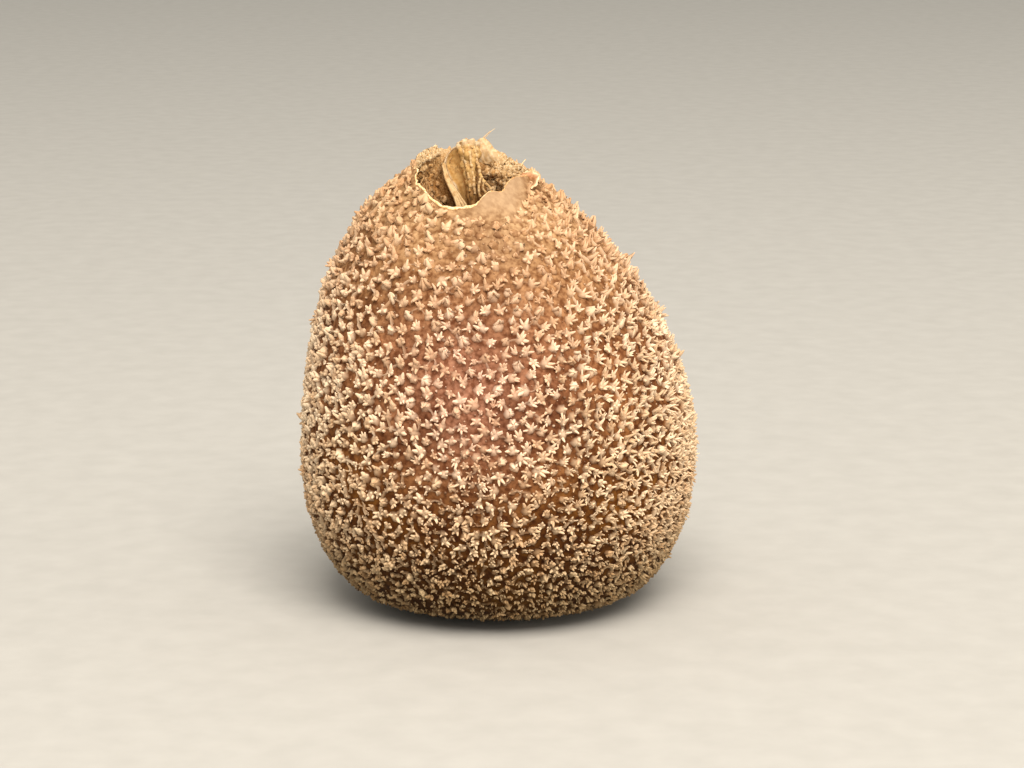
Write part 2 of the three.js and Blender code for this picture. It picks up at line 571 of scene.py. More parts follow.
def finish_matt(tree, colour, roughness, grain_size, grain_depth, gloss=FAINT_GLOSS):
    """Finishes a material as dry tissue. The grain's size and depth are in millimetres."""
    here, _ = surface_parts(tree)
    grain = add(
        tree, "ShaderNodeTexNoise", {"Vector": here, "Scale": 1 / (grain_size * MM), "Detail": 3.0}
    )
    bump = add(
        tree,
        "ShaderNodeBump",
        {"Strength": 1.0, "Distance": grain_depth * MM, "Height": grain.outputs["Fac"]},
    )
    sockets = {
        "Base Color": colour,
        "Metallic": 0.0,
        "Roughness": roughness,
        "IOR": TISSUE_IOR,
        "Specular IOR Level": gloss,
        "Normal": bump.outputs["Normal"],
    }
    shader = add(tree, "ShaderNodeBsdfPrincipled", sockets)
    add(tree, "ShaderNodeOutputMaterial", {"Surface": shader.outputs["BSDF"]})


# A sheet of matted threads, dried in the open air: it gives the eye a dull, tough brown ground.
# Leather has a roughness of about 0.6, and this skin has no polish at all, so it gets more.
leathery_skin, tree = new_material("leathery skin, dried")
finish_matt(tree, skin_colour(tree), roughness=0.8, grain_size=SKIN_GRAIN, grain_depth=0.06)
print(leathery_skin.name, "has", len(tree.nodes), "nodes")

# %% [markdown]
# The warts are mealy: crumbs of dry, swollen cells, much paler than the skin that they grow out
# of. They are dull and darker at the foot, partly as painted shade of the lower body, palest on
# the belly, and warmer near the mouth. One cream could serve for all of them, but it would look
# painted on. So the cream is a ramp over the height, as the skin's brown is.

# %% The warts' creams
# Darker towards the foot: partly the warts' own duller cream, partly painted shade of the lower
# body.
CREAM_BY_HEIGHT = [
    (0.00, "#8f7857"),
    (0.10, "#c4a982"),
    (0.25, "#eaceaa"),
    (0.42, "#f1d9b8"),
    (0.62, "#f0d7b8"),
    (0.80, "#e3c19e"),
    (0.92, "#deba92"),
]
CREAM_FLUSH = "#f5d2ba"
# Slow to turn to cream, so that the warts' lower parts carry painted shade as well as the skin's
# brown.
CREAM_AND_SHADE_BY_RISE = [(0.03, "#000000"), (0.25, "#a8a8a8"), (0.6, "#ffffff")]  # white is all cream
WART_TONES = [(0.0, "#dfcfbf"), (1.0, "#ffffff")]  # from the darkest wart to the palest
MEAL_GRAIN = 0.07  # millimetres, coarser than real meal, which would not show
print("the cream has", len(CREAM_BY_HEIGHT), "steps over the height")

# %% [markdown]
# Each wart grows out of the brown skin and pales towards its tips. Two materials could meet at
# its foot, but with a hard line between them. Instead each point of a wart says how far it has
# risen from the skin, and the skin's colour turns to cream on the way, slowly, so that the darker
# lower parts also stand for painted shade on the flanks. A second value makes some warts a little
# darker than others.

# %% The warts' finish
# Dried cells fallen to meal: pale, chalky tips over soft brown roots, which also carry painted
# shade. Nearly as matt as flour, whose roughness is about 0.9.
mealy_wart, tree = new_material("mealy wart tissue")
_, height = surface_parts(tree)
cream = add(tree, "ShaderNodeValToRGB", {"Fac": height}, stops=CREAM_BY_HEIGHT)
flush = add(tree, "ShaderNodeAttribute", attribute_name="flush").outputs["Fac"]
flushed = add(
    tree,
    "ShaderNodeMix",
    {MIX_SHARE: flush, MIX_FROM: cream.outputs["Color"], MIX_TO: CREAM_FLUSH},
    data_type="RGBA",
)
rise = add(tree, "ShaderNodeAttribute", attribute_name="rise").outputs["Fac"]
risen = add(tree, "ShaderNodeValToRGB", {"Fac": rise}, stops=CREAM_AND_SHADE_BY_RISE)
grown = add(
    tree,
    "ShaderNodeMix",
    {
        MIX_SHARE: risen.outputs["Color"],
        MIX_FROM: skin_colour(tree),
        MIX_TO: flushed.outputs[MIXED],
    },
    data_type="RGBA",
)
tone = add(tree, "ShaderNodeAttribute", attribute_name="tone").outputs["Fac"]
shade = add(tree, "ShaderNodeValToRGB", {"Fac": tone}, stops=WART_TONES)
colour = add(
    tree,
    "ShaderNodeMix",
    {MIX_SHARE: 1.0, MIX_FROM: grown.outputs[MIXED], MIX_TO: shade.outputs["Color"]},
    data_type="RGBA",
    blend_type="MULTIPLY",
)
mealy = colour.outputs[MIXED]
finish_matt(tree, mealy, roughness=0.85, grain_size=MEAL_GRAIN, grain_depth=0.012)
print(mealy_wart.name, "has", len(tree.nodes), "nodes")

# %% [markdown]
# ## The skin
#
# The skin is one net of points laid over the egg, from the middle of the underside to the torn
# rim. It lies a little inside the solid, because the solid's surface runs half-way up the warts,
# and the two meet at the bare collar. A subdivided sphere could be pushed into shape, but its
# faces would bunch up at the poles and miss the ragged rim. The next cell holds what the skin and
# the later pieces ask about a place: where the rim is, how deep the skin lies, and how flushed,
# bare or rubbed it is.

# %% The rim's small tears, and what the skin is like at a place
SKIN_DEPTH = 0.33  # millimetres under the solid, half the height of a wart
BARE_FADE = 2.0  # how far from the rim it has come down to that depth
SCAR_RADIUS = 2.2  # of the puckered spot underneath, where the fungus held to the ground
FINE_TEARS = [(-168, -0.35, 9), (-112, -0.1, 5), (-93, 0.16, 7), (-60, -0.2, 6), (18, -0.4, 8)]


def ragged_rim(turn):
    """The rim's height with its fine tears, which are deeper at the back."""
    ring = np.stack([np.cos(turn), np.sin(turn), 0 * turn], axis=-1)
    torn = 0.1 * noise_at(ring, 0.16, 3.0) + 0.07 * noise_at(ring, 0.05, 9.0)
    return rim_height(turn) + tears_at(turn, FINE_TEARS) + torn * (1 + 0.6 * np.sin(turn))


def skin_depth(turn, way):
    """How far the skin lies inside the solid at a place."""
    left = way_at(rim_height(turn)) - way
    return SKIN_DEPTH * ease(left / BARE_FADE)


def flush_at(points):
    """How strong the pink-brown flush is: most in the middle of the front."""
    middle = np.array([-1.6, -11.8, 16.4])
    spread = np.array([5.2, 7.0, 5.5])
    return np.exp(-(((points - middle) / spread) ** 2).sum(-1)) * 0.85


def bare_margin(turn):
    """How wide the bare collar is in a direction, in millimetres along the skin."""
    margin = 0.35 + 1.85 * np.exp(-((turn_between(turn, -58) / 27) ** 2))
    return margin + 0.3 * np.exp(-((turn_between(turn, 75) / 40) ** 2))


def rubbed_at(points):
    """How much a place has been rubbed: a patch under the mouth has low, faint warts."""
    middle = np.array([0.2, -7.8, 25.4])
    spread = np.array([1.8, 3.0, 1.6])
    return np.exp(-(((points - middle) / spread) ** 2).sum(-1))


FRONT, BACK = math.radians(-90), math.radians(90)
widths = [round(float(bare_margin(direction)), 2) for direction in (FRONT, BACK)]
print("the bare collar is", widths[0], "mm wide at the front and", widths[1], "at the back")

# %% [markdown]
# Now the net itself. Sculpting could give a dried, lumpy surface, but noise of a known size gives
# it evenly and can be faded out. Here it pushes the points in and out by about a tenth of a
# millimetre, and leaves the stretched collar smooth. Underneath, cosine folds pucker the skin
# round the scar.

# %% The skin's net
SKIN_ROWS, SKIN_COLUMNS = 156, 264
ring = np.linspace(0, 2 * np.pi, SKIN_COLUMNS, endpoint=False)
rim_way = way_at(ragged_rim(ring))
share = np.linspace(0, 1, SKIN_ROWS)[:, None]
turns = np.broadcast_to(ring, (SKIN_ROWS, SKIN_COLUMNS))
ways = np.maximum(share, 0.002) * rim_way
skin = on_skin(turns, ways)
outward = facing(turns, ways)
left = rim_way - ways
# Lumps 0.9 mm wide and up to 0.07 mm high, with finer ones on them, fading at the collar.
lumps = 0.07 * noise_at(skin, 0.9, 1.0) + 0.04 * noise_at(skin, 0.32, 5.0, 2)
lumps *= 0.04 + 0.96 * ease((left - 0.7 * bare_margin(turns)) / 1.2)
# Eleven folds round the scar underneath.
folds = np.cos(11 * turns + 2.5 * noise_at(skin, 1.6, 8.0, 2))
lumps += 0.07 * folds * ease(ways / 0.5) * ease((SCAR_RADIUS + 0.6 - ways) / 1.4)
skin = skin + outward * (lumps - skin_depth(turns, ways))[..., None]
skin[..., 2] = np.maximum(skin[..., 2], 0.05)  # above the floor
margin = bare_margin(turns)
bare = np.clip((margin - 0.4) / 1.1, 0.1, 1)
make_piece(
    "skin",
    skin.reshape(-1, 3),
    net_faces(SKIN_ROWS, SKIN_COLUMNS),
    leathery_skin,
    flush=flush_at(skin),
    collar=np.maximum(bare * ease(1.25 - left / (margin + 0.3)), 0.45 * rubbed_at(skin)),
)

# %% [markdown]
# ## Where the warts stand
#
# Warts on a puffball stand almost evenly, but never in rows. A grid with its points shifted would
# still show its rows. Throwing points at random, and keeping only those that aren't too near an
# earlier one, gives just what is wanted. To find near ones quickly, each kept point is filed
# under the small cube of space that it lies in, so that only that cube and its neighbours are
# searched.

# %% Points that keep apart
def points_apart(points, gaps):
    """The numbers of the points that are kept: each keeps its gap from all that came before it."""
    cells = np.floor(points / float(gaps.max())).astype(int)
    kept, near = [], {}
    around = [(i, j, k) for i in (-1, 0, 1) for j in (-1, 0, 1) for k in (-1, 0, 1)]
    rows = zip(points.tolist(), gaps.tolist(), cells.tolist())
    for index, (p, gap, (a, b, c)) in enumerate(rows):
        others = (other for i, j, k in around for other in near.get((a + i, b + j, c + k), ()))
        if all(2 * math.dist(p, q) >= gap + other_gap for q, other_gap in others):
            near.setdefault((a, b, c), []).append((p, gap))
            kept.append(index)
    return kept


line_of_four = np.array([[0.0, 0, 0], [0.4, 0, 0], [1.0, 0, 0], [1.8, 0, 0]])
print("of four points on a line, these stay:", points_apart(line_of_four, np.full(4, 0.9)))

# %% [markdown]
# The warts cover the skin from the underside to the collar, and stand a little closer on the
# sides. Points could be thrown into a box and moved onto the egg, but its steep parts would get
# too few. Here each point is thrown straight onto the skin, by a direction and a way along it.
# More of them fall where the skin is wide or the warts are to stand close.

# %% Scattering points over the skin
def crowding(turn):
    """Warts stand a little closer, and are that much smaller, on the sides, most on the right."""
    right = np.maximum(np.cos(turn + 0.35), 0)
    left = np.maximum(-np.cos(turn - 0.35), 0)
    return 1 - 0.11 * right - 0.05 * left


def scatter(count, spacing_at, first_way, margin_share, last_share=1.0):
    """Directions, ways and size factors of points that keep their distance.

    Count points are thrown, from first_way up to margin_share of the bare collar. spacing_at
    takes heights. The first points thrown are the largest and need the most room, and the last
    are smaller by last_share and fill the gaps."""
    grid_ways = np.linspace(0, float(way_at(31.0)), 600)
    heights = height_at(grid_ways)
    radii = np.where(grid_ways < FLAT_RADIUS, grid_ways, body_radius(heights))
    weights = np.cumsum(radii / spacing_at(heights) ** 2)
    ways = np.interp(chance.random(count), weights / weights[-1], grid_ways)
    turns = chance.random(count) * 2 * np.pi
    factors = np.linspace(1, last_share, count) * crowding(turns)
    rim = way_at(rim_height(turns))
    fits = (ways > first_way) & (ways < rim - margin_share * bare_margin(turns))
    turns, ways, factors = turns[fits], ways[fits], factors[fits]
    points = on_skin(turns, ways)
    kept = points_apart(points, spacing_at(height_at(ways)) * factors)
    return turns[kept], ways[kept], factors[kept]


print("spacing is multiplied by", crowding(np.array([0, np.pi])).round(2), "right and left")

# %% [markdown]
# The real warts stand closest a little above the foot and furthest apart on the crown, and they
# are somewhat closer on the sides too. The bare collar round the mouth has none. Painting a
# density map would say that as well, but a short list of spacings over the height is easier to
# measure and to change.

# %% The warts' places
WART_THROWS = 90000
SMALLEST_WART = 0.6  # as a share of the largest
WART_SPACING = [  # height and spacing, in millimetres
    (0, 0.64),
    (1, 0.56),
    (3, 0.52),
    (6, 0.55),
    (10, 0.66),
    (14, 0.72),
    (20, 0.79),
    (31, 0.85),
]


def wart_spacing(height):
    """How far apart the largest warts stand at a height."""
    return np.interp(height, *zip(*WART_SPACING))


wart_turns, wart_ways, wart_sizes = scatter(
    WART_THROWS, wart_spacing, SCAR_RADIUS + 0.5, 1.0, SMALLEST_WART
)
print(len(wart_turns), "warts")

# %% [markdown]
# ## Spines
#
# Each wart is a tuft of two to six soft, blunt spines on a low mound. In some the spines spread
# like fingers, in others their tips lean together into a ridged peak. Curves with a round bevel
# could be turned into spines one by one, but there are some twenty thousand. Here a spine is a
# row of rings along a bent line, closed by a tip. All spines have the same number of points, so
# those of a whole band of the body are worked out at once.

# %% Directions at a place, and copies as one mesh
def axes_at(turn, way):
    """The outward, sideways and uphill directions at a place on the skin."""
    out = facing(turn, way)
    side = unit(np.stack([-np.sin(turn), np.cos(turn), 0 * turn], axis=-1))
    up = unit(np.cross(out, side))
    return out, side, up


def join_copies(points, sides, caps):
    """One face list for many copies of the same small net."""
    count, size = points.shape[:2]
    shift = np.arange(count)[:, None, None] * size
    squares = (sides[None] + shift).reshape(-1, sides.shape[1])
    triangles = (caps[None] + shift).reshape(-1, 3)
    return squares, triangles


out, side, up = axes_at(0.0, way_at(WIDEST_HEIGHT))
print("on the right of the widest part, outward is", np.round(out, 2).tolist())

# %% [markdown]
# A spine is thickest at its foot, where tissue webs it to its neighbours, and it bends as it
# rises. A cone would be enough from far away, but its straight sides look like thorns close up.
# Three rings and a tip are the fewest that can bend, taper and stay blunt.

# %% Spines from arrays
RING_PLACES = np.array([0.0, 0.55, 0.92])  # along the spine, from 0 to 1
RING_WIDTHS = np.array([1.35, 0.95, 0.5])  # as shares of its thickness
WEB_WIDTHS = np.array([1.0, 0.5, 0.1])  # what a full web of tissue adds to each ring
RING_SIDES = 4


def spines(root, out, start, end, lean, height, thick, web, curl):
    """Points and faces of many spines, and how far along its spine each point is.

    start and end are sideways offsets of foot and tip, lean is added towards the tip, web says
    how much tissue joins the spine's foot to its neighbours, and curl how late it bends out."""
    count = len(root)
    t = RING_PLACES[None, :, None]

    def line(t):
        spread = start[:, None] + (end - start)[:, None] * t ** curl[:, None, None]
        rise = out[:, None] * (height[:, None, None] * t - 0.06)
        return root[:, None] + rise + spread + lean[:, None] * t**2

    centres = line(t)
    ahead = unit(line(t + 0.02) - line(t - 0.02 * (t > 0.01)))
    across = unit(np.cross(ahead, out[:, None] + 1e-6))
    over = np.cross(across, ahead)
    angle = np.arange(RING_SIDES) * 2 * np.pi / RING_SIDES
    taper = (RING_WIDTHS + WEB_WIDTHS * web[:, None])[:, :, None, None]
    rough = 1 + 0.3 * (chance.random((count, len(RING_PLACES), RING_SIDES, 1)) - 0.5)
    radius = thick[:, None, None, None] * taper * rough
    ring = across[:, :, None] * np.cos(angle)[:, None] + over[:, :, None] * np.sin(angle)[:, None]
    points = centres[:, :, None] + ring * radius
    points = np.concatenate([points.reshape(count, -1, 3), line(np.ones((1, 1, 1)))], axis=1)
    along = np.concatenate([np.repeat(RING_PLACES, RING_SIDES), [1.0]])
    sides = net_faces(len(RING_PLACES), RING_SIDES)
    last = (len(RING_PLACES) - 1) * RING_SIDES
    step = np.arange(RING_SIDES)
    cap = np.stack([last + step, last + (step + 1) % RING_SIDES, 0 * step + last + RING_SIDES], -1)
    return points, sides, cap, along


print("a spine has", len(RING_PLACES) * RING_SIDES + 1, "points")

# %% [markdown]
# Under its spines each wart is a low mound of the same mealy tissue. A flattened sphere would do,
# but it would take many more faces for something that is mostly hidden. Two uneven rings and a
# top point are enough. The grains between the warts and the clumps of cotton are such mounds too.

# %% Mounds under the spines
MOUND_RINGS = ((1.0, -0.08), (0.62, 0.62))  # reach and rise, as shares of radius and height


def mounds(root, out, side, up, radius, height, sides=6):
    """Points and faces of many mounds, and how far up its mound each point is."""
    count = len(root)
    angle = np.arange(sides) * 2 * np.pi / sides
    rings = []
    for reach, rise in MOUND_RINGS:
        rough = 1 + 0.6 * (chance.random((count, sides, 1)) - 0.5)
        flat = side[:, None] * np.cos(angle)[:, None] + up[:, None] * np.sin(angle)[:, None]
        ring = root[:, None] + flat * (radius * reach)[:, None, None] * rough
        rings.append(ring + out[:, None] * (height * rise)[:, None, None])
    top = root + out * height[:, None]
    points = np.concatenate(rings + [top[:, None]], axis=1)
    step = np.arange(sides)
    cap = np.stack([sides + step, sides + (step + 1) % sides, 0 * step + 2 * sides], axis=-1)
    along = np.concatenate([np.zeros(sides), np.full(sides, 0.6), [1.0]])
    return points, net_faces(2, sides), cap, along


print("a mound with six sides has", len(MOUND_RINGS) * 6 + 1, "points")

# %% [markdown]
# ## The warts
#
# No two warts are alike, but each kind has its place. They are small near the foot, full and
# spiny on the belly, and low and blunt beside the bare collar in front. Those on the left are
# lumpier, and low on the body small brown ones stand among the others. Modelling a few warts and
# repeating them would soon show. So each wart is made by chance, within limits that follow its
# place, and the next cell names the limits.

# %% The limits of the warts' traits
SIZE_BY_HEIGHT = ([0, 4, 7, 11, 22, 28], [0.80, 0.86, 1.0, 1.17, 1.18, 1.12])
BLUNT_REACH = 6.0  # how far below the bare collar warts are blunt, in millimetres
BLUNT_TURN, BLUNT_SPREAD = -75, 48  # where that is strongest, in degrees
SPINE_NUMBERS = {2: 0.07, 3: 0.21, 4: 0.3, 5: 0.26, 6: 0.16}  # each with its share of the warts
NARROWEST_FAN = 2.6  # how far the spines of a wart spread round it, in radians


def between(low, high, count):
    """Random values from low to high, as many as count says."""
    return low + (high - low) * chance.random(count)


usual = sum(spine_count * share for spine_count, share in SPINE_NUMBERS.items())
print("a wart has", round(usual, 1), "spines on average")

# %% [markdown]
# A wart's traits are its size, the number of its spines and the way they fan out, how blunt,
# brown or lumpy it is, and a few more. They could be kept wart by wart, each as an object of a
# class. Here each trait is one array with a value for every wart of a band, because numpy works
# on a whole array at once, which makes thousands of warts in a moment.

# %% The traits of the warts
def wart_traits(turn, way, size):
    """What each wart of a band is like. The values from 0 to 1 say how much of a trait it has."""
    count = len(turn)
    height = height_at(way)
    rim = way_at(rim_height(turn))
    blunt = ease(1 - (rim - way - bare_margin(turn)) / BLUNT_REACH)  # 1 beside the bare collar
    blunt *= 0.25 + 0.75 * np.exp(-((turn_between(turn, BLUNT_TURN) / BLUNT_SPREAD) ** 2))
    low_front = ease((15 - height) / 6) * (1 - 0.8 * np.maximum(np.cos(turn), 0))
    stunted = between(0, 1, count) ** 1.5 * low_front  # small brown warts among the others
    size = size * np.interp(height, *SIZE_BY_HEIGHT)
    size = size * between(0.85, 1.15, count) * (1 + 0.1 * blunt)
    size = size * (1 + 0.12 * low_front - 0.52 * stunted)
    number = chance.choice(list(SPINE_NUMBERS), count, p=list(SPINE_NUMBERS.values()))
    number = np.maximum(number - (chance.random(count) < blunt) - (blunt > 0.8), 2)
    fan = between(NARROWEST_FAN, 2 * np.pi, count)
    first = np.pi / 2 - fan / 2 + between(-1.9, 1.9, count)  # most fans open uphill
    crown = ease((height - 12) / 12)  # 0 on the belly and 1 near the mouth
    peaked = chance.random(count) < 0.12 + 0.28 * crown
    lean_side = between(-0.12, 0.12, count)
    lean_up = between(-0.1, 0.16, count) + 0.15 * crown * peaked
    tone = between(0, 1, count)
    on_a_side = ease(np.abs(np.cos(turn)) * 2 - 0.8)
    return {
        "size": size,
        "number": number,  # of spines
        "fan": fan,
        "first": first,  # the direction of the first spine
        "lean_side": lean_side,
        "lean_up": lean_up,
        "blunt": blunt,
        "stunted": stunted,
        "crown": crown,
        "peaked": peaked,  # the tips lean together
        "lumpy": ease(-1.2 * np.cos(turn)),  # 1 on the left
        "knobby": ease((9.5 - height) / 6),  # 0 on the belly and 1 near the foot
        "shaggy": 1 + 0.5 * (chance.random(count) < 0.1) * on_a_side,
        "tone": tone,
    }


print("sizes from the foot to the crown are multiplied by", SIZE_BY_HEIGHT[1])

# %% [markdown]
# The traits then shape the spines. A spine that spreads has its tip out to the side, a blunt one
# is shorter and thicker, and all grow with their wart. Particles or instances would be quicker to
# set up, but they could only turn and scale a spine, not bend it or fuse its foot with its
# neighbours.

# %% The spines of a band
SPINE_HEIGHT = 0.26, 0.5  # lowest and highest, in millimetres, on a wart of size 1
SPINE_THICKNESS = 0.066, 0.102
SPREAD_FOOT, SPREAD_TIP = (0.02, 0.12), (0.25, 0.5)  # how far out foot and tip of a spine are
PEAKED_FOOT, PEAKED_TIP = (0.2, 0.32), (0.0, 0.1)  # the same where the tips lean together


def wart_spines(warts, root, out, side, up):
    """The spines of all warts: points, faces, how far each point has risen, and their warts."""
    number = warts["number"]
    of = np.repeat(np.arange(len(root)), number)  # the wart that each spine belongs to
    place_in = np.concatenate([np.arange(n) for n in number]) / np.repeat(number, number)
    total = len(of)
    each = {trait: values[of] for trait, values in warts.items()}
    peaked, size, blunt = each["peaked"], each["size"], each["blunt"]
    crown, knobby, lumpy = each["crown"], each["knobby"], each["lumpy"]
    angle = each["first"] + each["fan"] * (place_in + between(-0.08, 0.08, total))
    flat = side[of] * np.cos(angle)[:, None] + up[of] * np.sin(angle)[:, None]
    rubbed = rubbed_at(root)[of]
    start = np.where(peaked, between(*PEAKED_FOOT, total), between(*SPREAD_FOOT, total)) * size
    end = np.where(peaked, between(*PEAKED_TIP, total), between(*SPREAD_TIP, total)) * size
    end = end * (1 - 0.3 * knobby) * (1 - 0.25 * rubbed) * (1 - 0.1 * lumpy)
    tall = between(*SPINE_HEIGHT, total) * size * (1 - 0.5 * blunt) * (1 - 0.5 * rubbed)
    tall = tall * (1 + 0.3 * (crown * peaked)) * (1 - 0.25 * lumpy) * each["shaggy"]
    thick = between(*SPINE_THICKNESS, total) * size
    thick = thick * (1 + 0.6 * blunt + 0.15 * knobby + 0.05 * crown + 0.35 * lumpy)
    web = between(0.0, 0.5, total) + 0.1 * crown + 0.25 * knobby
    curl = np.where(peaked, 0.8, between(0.8, 1.5, total))
    lean = side[of] * each["lean_side"][:, None] + up[of] * each["lean_up"][:, None]
    points, sides, cap, along = spines(
        root[of],
        out[of],
        flat * start[:, None],
        flat * end[:, None],
        lean,
        tall,
        thick,
        web,
        curl,
    )
    faded = (1 - 0.75 * rubbed) * (1 - 0.65 * each["stunted"])
    # Cream grows towards the tips: the darker feet are partly painted shade on the spines' flanks.
    rise = (0.2 + 0.25 * blunt[:, None] + 0.8 * along) * faded[:, None]
    return points, join_copies(points, sides, cap), rise, of


print("a spine is", SPINE_HEIGHT[0], "to", SPINE_HEIGHT[1], "mm tall on a wart of size 1")

# %% [markdown]
# The mounds need fewer traits. They could have one colour, but a real one pales upwards, and
# where the skin has been rubbed, low on the body or stunted, it stays nearly as brown as the skin.
# The brown feet, and the browner mounds low on the body, are partly painted shade. So the value
# that turns the skin's colour to cream grows up the mound, and less on those.

# %% The mounds of a band
MOUND_RADIUS, MOUND_HEIGHT = 0.32, 0.2  # in millimetres, on a wart of size 1


def wart_mounds(warts, root, out, side, up):
    """The mounds of all warts: points, faces and how far each point has risen."""
    size = warts["size"]
    radius, height = MOUND_RADIUS * size, MOUND_HEIGHT * size
    points, sides, cap, along = mounds(root, out, side, up, radius, height)
    # The mounds low on the body (knobby) stay browner: painted shade of the lower body.
    rise = (0.05 + 0.37 * along) * (1 - 0.75 * rubbed_at(root) - 0.3 * warts["knobby"])[:, None]
    return points, join_copies(points, sides, cap), rise * (1 - 0.65 * warts["stunted"])[:, None]


print("a mound is", 2 * MOUND_RADIUS, "mm wide and", MOUND_HEIGHT, "mm high on a wart of size 1")

# %% [markdown]
# A wart is its mound and its spines together. All the warts could be one mesh, but a very heavy
# one, and an object for each wart would be heavier still. So each band of the body, from the foot
# to the crown, is one piece.

# %% The warts, band by band
BANDS = [  # name, lowest and highest height in millimetres
    ("foot", 0, 3.5),
    ("lower", 3.5, 8),
    ("belly", 8, 13),
    ("upper", 13, 19),
    ("crown", 19, 32),
]


def grow_warts(name, turn, way, size):
    """All the warts of one band, as one piece."""
    out, side, up = axes_at(turn, way)
    root = on_skin(turn, way) - out * skin_depth(turn, way)[:, None]
    warts = wart_traits(turn, way, size)
    tone = warts["tone"]
    points, (squares, triangles), rise, of = wart_spines(warts, root, out, side, up)
    mound_points, mound_faces, mound_rise = wart_mounds(warts, root, out, side, up)
    base = points.shape[0] * points.shape[1]  # the mounds' points come after the spines'
    all_points = np.concatenate([points.reshape(-1, 3), mound_points.reshape(-1, 3)])
    all_points[:, 2] = np.maximum(all_points[:, 2], 0.02)  # above the floor
    all_squares = np.concatenate([squares, mound_faces[0] + base])
    tones = [np.repeat(tone[of], points.shape[1]), np.repeat(tone, mound_points.shape[1])]
    make_piece(
        name,
        all_points,
        np.concatenate([halved(all_squares), triangles, mound_faces[1] + base]),
        mealy_wart,
        rise=np.concatenate([rise.ravel(), mound_rise.ravel()]),
        tone=np.concatenate(tones),
        flush=flush_at(all_points),
    )


wart_heights = height_at(wart_ways)
for band, low, high in BANDS:
    chosen = (wart_heights >= low) & (wart_heights < high)
    grow_warts("warts_" + band, wart_turns[chosen], wart_ways[chosen], wart_sizes[chosen])

# %% [markdown]
# ## Ridges and granules between the warts
#
# Low ridges of the same tissue run from wart to wart, where a coarser crust has broken up as the
# body swelled. Shrinking a second skin onto the first would give a closed crust. Joining each
# wart to one of its nearest neighbours, and leaving out about every third, gives the broken net
# of the real one. A k-d tree finds the neighbours quickly.

# %% Which warts are joined
RIDGE_SHARE = 0.65  # of the warts start one
roots = on_skin(wart_turns, wart_ways)
tree_of_roots = kdtree.KDTree(len(roots))
for index, root in enumerate(roots.tolist()):
    tree_of_roots.insert(root, index)
tree_of_roots.balance()
pairs = set()
for index, root in enumerate(roots.tolist()):
    near = [found[1] for found in tree_of_roots.find_n(root, 4)][1:]
    neighbour = near[int(chance.integers(0, 3))]
    if chance.random() < RIDGE_SHARE:
        pairs.add((min(index, neighbour), max(index, neighbour)))
pairs = np.array(sorted(pairs))
print(len(pairs), "ridges")

# %% [markdown]
# A ridge has a low, uneven crest and slopes to the skin on both sides. A tube between two warts
# would look like a twig laid on the skin. Three rows of points, two of them sunk into the skin
# and one raised, make a soft roof that bows a little to one side.

# %% Ridges from wart to wart
RIDGE_STATIONS = 5  # points along a ridge
RIDGE_RISE = np.array([0.04, 0.2, 0.04])  # how cream its two sides and its crest are
SIDE_RISE = np.array([0.0, 0.28, 0.0])  # and how much more so on the body's sides
out = facing(wart_turns, wart_ways)
low_roots = roots - out * skin_depth(wart_turns, wart_ways)[:, None]
start, end = low_roots[pairs[:, 0]], low_roots[pairs[:, 1]]
upright = unit(out[pairs[:, 0]] + out[pairs[:, 1]])
beside = unit(np.cross(end - start, upright))
t = np.linspace(0, 1, RIDGE_STATIONS)[None, :, None]
bow = between(-0.16, 0.16, len(pairs))[:, None, None] * np.sin(np.pi * t)
middle = start[:, None] * (1 - t) + end[:, None] * t + beside[:, None] * bow
flank = ease((np.abs(np.cos(wart_turns[pairs[:, 0]])) - 0.25) / 0.5)  # 0 in front, 1 at a side
wide = between(0.08, 0.17, (len(pairs), RIDGE_STATIONS, 1))
tall = between(0.07, 0.19, (len(pairs), RIDGE_STATIONS, 1)) * (1 + 0.7 * flank)[:, None, None]
foot = upright[:, None] * 0.05
sections = [
    middle - beside[:, None] * wide - foot,
    middle + upright[:, None] * tall,
    middle + beside[:, None] * wide - foot,
]
points = np.stack(sections, axis=2)
squares, _ = join_copies(
    points.reshape(len(pairs), -1, 3),
    net_faces(RIDGE_STATIONS, 3, closed=False),
    np.zeros((0, 3), dtype=int),
)
flat_points = points.reshape(-1, 3)
flat_points[:, 2] = np.maximum(flat_points[:, 2], 0.03)
rise = RIDGE_RISE + SIDE_RISE * flank[:, None, None]
rise = np.broadcast_to(rise, (len(pairs), RIDGE_STATIONS, 3))
make_piece(
    "ridges",
    flat_points,
    squares,
    mealy_wart,
    rise=rise.ravel(),
    tone=np.repeat(between(0, 1, len(pairs)), 3 * RIDGE_STATIONS),
    flush=flush_at(flat_points),
)

# %% [markdown]
# Between warts and ridges the skin carries mealy grains, a tenth to a quarter of a millimetre
# across. A bump in the skin's material would show their shading, but not their outline or their
# pale colour. They are mounds like those under the spines, only smaller, and scattered by the
# same rule.

# %% Granules
GRANULE_SPACING = 0.5
GRANULE_THROWS = 20000
GRANULE_SIDES = 5


def granule_spacing(height):
    """How far apart granules are: the same at every height."""
    return GRANULE_SPACING + 0 * height


turns, ways, _ = scatter(GRANULE_THROWS, granule_spacing, 0.3, 1.1)
out, side, up = axes_at(turns, ways)
roots = on_skin(turns, ways) - out * skin_depth(turns, ways)[:, None]
sizes = 0.35 + 1.0 * chance.random(len(turns)) ** 1.6  # mostly small ones
points, sides, cap, along = mounds(
    roots, out, side, up, 0.1 * sizes, 0.13 * sizes, sides=GRANULE_SIDES
)
squares, triangles = join_copies(points, sides, cap)
flat_points = points.reshape(-1, 3)
flat_points[:, 2] = np.maximum(flat_points[:, 2], 0.02)
pale_share = between(0.1, 0.6, len(turns))[:, None]
make_piece(
    "granules",
    flat_points,
    np.concatenate([halved(squares), triangles]),
    mealy_wart,
    rise=(0.02 + pale_share * along).ravel(),
    tone=np.repeat(between(0, 1, len(turns)), points.shape[1]),
    flush=flush_at(flat_points),
)
print(len(turns), "granules")
